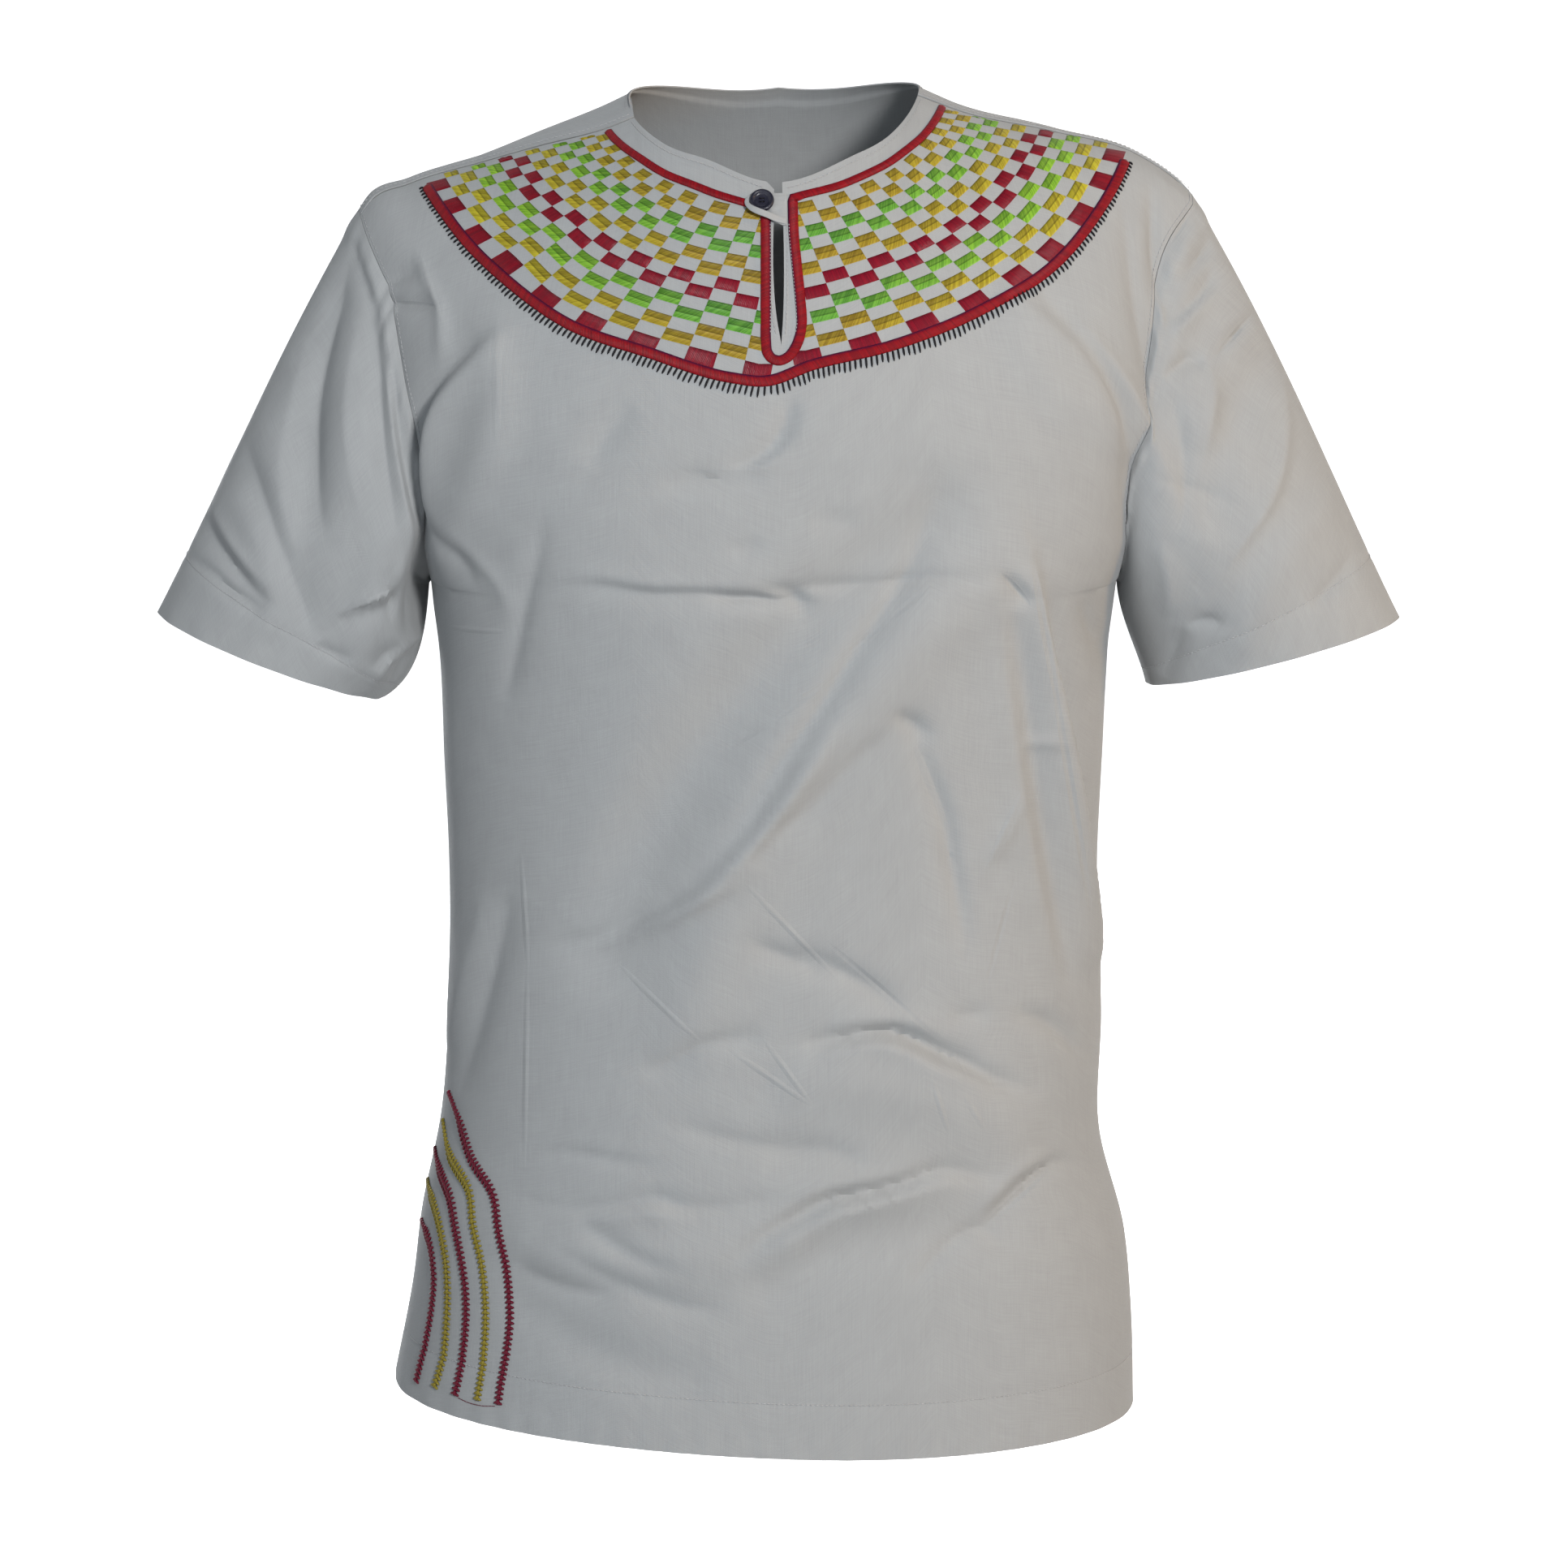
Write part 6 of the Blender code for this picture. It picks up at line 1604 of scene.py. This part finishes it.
# The buttonhole's lower lip: its middle (x, z), how far it stands off the panel, and its width.
TAB_LIP = (
    (0.0012, -0.0712, 0.0011, 0.0036), (-0.0036, -0.0705, 0.0024, 0.0038),
    (-0.0080, -0.0694, 0.0044, 0.0036), (-0.0122, -0.0682, 0.0053, 0.0036),
    (-0.0158, -0.0666, 0.0050, 0.0034), (-0.0184, -0.0645, 0.0040, 0.0028),
    (-0.0195, -0.0622, 0.0028, 0.0024), (-0.0187, -0.0600, 0.0016, 0.0026),
    (-0.0150, -0.0588, 0.0011, 0.0030), (-0.0090, -0.0590, 0.0010, 0.0032),
    (0.0008, -0.0598, 0.0010, 0.0034),
)
TAB_THICK, TAB_STAND, TAB_RIM = 0.0009, 0.0008, 0.0008
LIP_WIDE = 0.0036       # its width on the flat cloth
# The buttonhole's stitched line across the tab: its height, half-width, depth, and where it ends.
HOLE_LINE_Z, HOLE_LINE_HALF, HOLE_LINE_DEEP, HOLE_LINE_END = -0.0660, 0.00045, 0.0007, -0.0020
# The flat part of the tab, over the slit: the height of its rows, and where each starts and ends across.
TAB_ROWS = (
    (-0.0568, -0.0066, 0.0012), (-0.0600, -0.0074, 0.0014), (-0.0640, -0.0078, 0.0015),
    (-0.0656, -0.0078, 0.0015), (-0.0664, -0.0076, 0.0015), (-0.0700, -0.0070, 0.0015),
    (-0.0732, -0.0010, 0.0012),
)


def on_panel(x, z, stand):
    """A point that stands off the front cloth, seen at (x, z)."""
    ground, out = body(*on_front(x, z))
    return ground + out * np.asarray(stand)[..., None]


def button_place():
    """A placement on the front panel under the button: its local Z points out of the cloth."""
    point, out = body(*on_front(*BUTTON_AT))
    out = Vector(out)
    right = (Vector((1, 0, 0)) - out * out.x).normalized()
    turn = Matrix((right, out.cross(right), out)).transposed().to_4x4()
    return Matrix.Translation(Vector(point) + out * BUTTON_STAND) @ turn


def turned_mesh(name, outline, sides):
    """A closed turned form from half its outline (radius, height), its first and last point on the axis."""
    points = [(0, 0, outline[0][1])]
    for r, z in outline[1:-1]:
        points += [(r * math.cos(a), r * math.sin(a), z) for a in np.arange(sides) / sides * 2 * math.pi]
    points.append((0, 0, outline[-1][1]))
    last, faces = len(points) - 1, []
    for k in range(sides):
        k2 = (k + 1) % sides
        faces.append((0, 1 + k, 1 + k2))
        for row in range(len(outline) - 3):
            a, b = 1 + row * sides, 1 + (row + 1) * sides
            faces.append((a + k, b + k, b + k2, a + k2))
        faces.append((last, last - sides + k2, last - sides + k))
    mesh = bpy.data.meshes.new(name)
    mesh.from_pydata(points, [], faces)
    return mesh


button = add_object("black_button", turned_mesh("black_button", BUTTON_OUTLINE, BUTTON_SIDES))
for corner in range(4):
    angle = math.pi / 4 + corner * math.pi / 2
    outline = [(radius, z) for z, radii in zip(DRILL_ENDS, ((0, HOLE_RADIUS), (HOLE_RADIUS, 0)))
               for radius in radii]
    drill = add_object("drill", turned_mesh("drill", outline, HOLE_SIDES))
    drill.location = (HOLE_OUT * math.cos(angle), HOLE_OUT * math.sin(angle), 0)
    cut = button.modifiers.new("hole", "BOOLEAN")
    cut.object, cut.operation, cut.solver = drill, "DIFFERENCE", "EXACT"
bpy.context.view_layer.update()
drilled = bpy.data.meshes.new_from_object(button.evaluated_get(bpy.context.evaluated_depsgraph_get()))
button.modifiers.clear()
for drill in [made for made in bpy.data.objects if made.name.startswith("drill")]:
    bpy.data.objects.remove(drill)
drilled.transform(button_place())
button.data = drilled
for face in drilled.polygons:
    face.use_smooth = True
drilled.set_sharp_from_angle(angle=math.radians(38))
plastic, tree, shader = new_finish("black_plastic")
n = add_nodes(
    tree,
    place=("ShaderNodeTexCoord", {}, {}),
    haze=noise(("place", 3), 900.0, 3.0),
    rough=("ShaderNodeMapRange", {}, {0: ("haze", 0), 1: 0.3, 2: 0.7, 3: 0.22, 4: 0.40}),
    colour=mixed(("haze", 0), (0.006, 0.006, 0.013, 1), (0.016, 0.016, 0.030, 1)),
    bump=("ShaderNodeBump", {}, {"Strength": 0.12, "Distance": 0.0002, "Height": ("haze", 0)}),
)
fill(shader, {"Base Color": n["colour"].outputs[2], "Normal": n["bump"].outputs[0],
              "Roughness": n["rough"].outputs[0], "Specular IOR Level": 0.25})
drilled.materials.clear()
drilled.materials.append(plastic)
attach(button, "root")
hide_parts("button")

place = button_place()
reach = HOLE_OUT * math.sqrt(0.5)
crossing = [(Vector((0, y, 0.00158)), Vector((1, 0, 0)), reach * 2 + 0.0004) for y in (-reach, reach)]
shank = [(Vector((x, y, -0.0008)), Vector((0.1, 0.05, 1)), 0.0024)
         for x in (-0.0004, 0.0004) for y in (-0.0004, 0.0004)]
middles, along, lengths = zip(*(crossing + shank))
outs = [Vector((0, 0, 1))] * len(crossing) + [Vector((1, 0, 0))] * len(shank)
turn = place.to_3x3()
points = stitch_points("button_thread", np.array([place @ middle for middle in middles]),
                       np.array([turn @ direction for direction in along]),
                       np.array([turn @ direction for direction in outs]), np.array(lengths))
sewing = grow("button_thread", points, laid_stitches, Thread_width=0.00055, Rise=0.45, Uneven=0.05, Seed=4,
              Thread=black_thread)
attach(sewing, "root")


def tab_lip():
    """The buttonhole's lower lip: a flat band swept along its route, as points, faces and flat places."""
    lip = smooth_route(TAB_LIP, 0.0006)
    middle_line = on_panel(lip[:, 0], lip[:, 1], lip[:, 2])
    out = body(*on_front(lip[:, 0], lip[:, 1]))[1]
    along = unit(np.gradient(middle_line, axis=0))
    across = unit(np.cross(out, along))
    face_out = unit(np.cross(along, across))
    section = [tuple(math.copysign(abs(side) ** power, side) / 2
                     for side, power in ((math.cos(a), 0.55), (math.sin(a), 0.7)))
               for a in np.linspace(0, 2 * math.pi, 17)[:-1]]
    rings = np.stack([middle_line + across * (u * lip[:, 3])[:, None] + face_out * v * TAB_THICK
                      for u, v in section], axis=1)
    rows, sides = rings.shape[:2]
    walked = walk_along(middle_line)
    faces, uvs = [], []
    for i in range(rows - 1):
        for k in range(sides):
            corners = (i, k), (i, (k + 1) % sides), (i + 1, (k + 1) % sides), (i + 1, k)
            faces.append(tuple(row * sides + place for row, place in corners))
            uvs += [(walked[row], section[place][0] * LIP_WIDE) for row, place in corners]
    faces += [tuple(reversed(range(sides))), tuple(range((rows - 1) * sides, rows * sides))]
    uvs += [(0.0, 0.0)] * (2 * sides)
    return rings.reshape(-1, 3).tolist(), faces, uvs


def tab_flat():
    """The flat part of the tab, with its rim and the buttonhole's line, as points, faces and flat places."""
    rows = smooth_route(TAB_ROWS, 0.0010)
    across = np.linspace(0, 1, 10)
    x = rows[:, 1:2] + (rows[:, 2:3] - rows[:, 1:2]) * across
    z = np.broadcast_to(rows[:, 0:1], x.shape)
    rim = np.minimum(np.minimum(across, 1 - across)[None, :] * 9, 1)
    from_ends = np.minimum(rows[:, 0] - rows[-1, 0], rows[0, 0] - rows[:, 0])
    rim = np.minimum(rim, np.clip(from_ends / TAB_RIM, 0, 1)[:, None])
    hole_line = np.exp(-((z - HOLE_LINE_Z) / HOLE_LINE_HALF) ** 2) * (x < HOLE_LINE_END)
    half = TAB_THICK / 2 * np.sqrt(0.15 + 0.85 * rim)
    points = [on_panel(x, z, TAB_STAND + half - HOLE_LINE_DEEP * hole_line), on_panel(x, z, TAB_STAND - half)]
    grid = np.arange(x.size).reshape(x.shape)
    front = cells(grid).reshape(-1, 4)
    border = np.concatenate([grid[0, ::-1], grid[1:, 0], grid[-1, 1:], grid[-2:0:-1, -1]])
    ahead = np.roll(border, -1)
    around = np.stack([ahead, border, border + grid.size, ahead + grid.size], axis=-1)
    faces = np.concatenate([front, front[:, ::-1] + grid.size, around])
    flat = np.tile(np.stack([x, z], axis=-1).reshape(-1, 2), (2, 1))
    return np.concatenate(points).reshape(-1, 3).tolist(), faces, flat[faces].reshape(-1, 2).tolist()


points, faces, uvs = tab_lip()
flat_points, flat_faces, flat_uvs = tab_flat()
flat_faces = (flat_faces + len(points)).tolist()
mesh = bpy.data.meshes.new("button_tab")
mesh.from_pydata(points + flat_points, [], faces + flat_faces)
uvs += flat_uvs
add_uv(mesh, "cloth", uvs)
for face in mesh.polygons:
    face.use_smooth = True
mesh.set_sharp_from_angle(angle=math.radians(60))
mesh.materials.append(grey_cotton)
tab_piece = add_object("button_tab", mesh)
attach(tab_piece, "root")
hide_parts("button_loop")
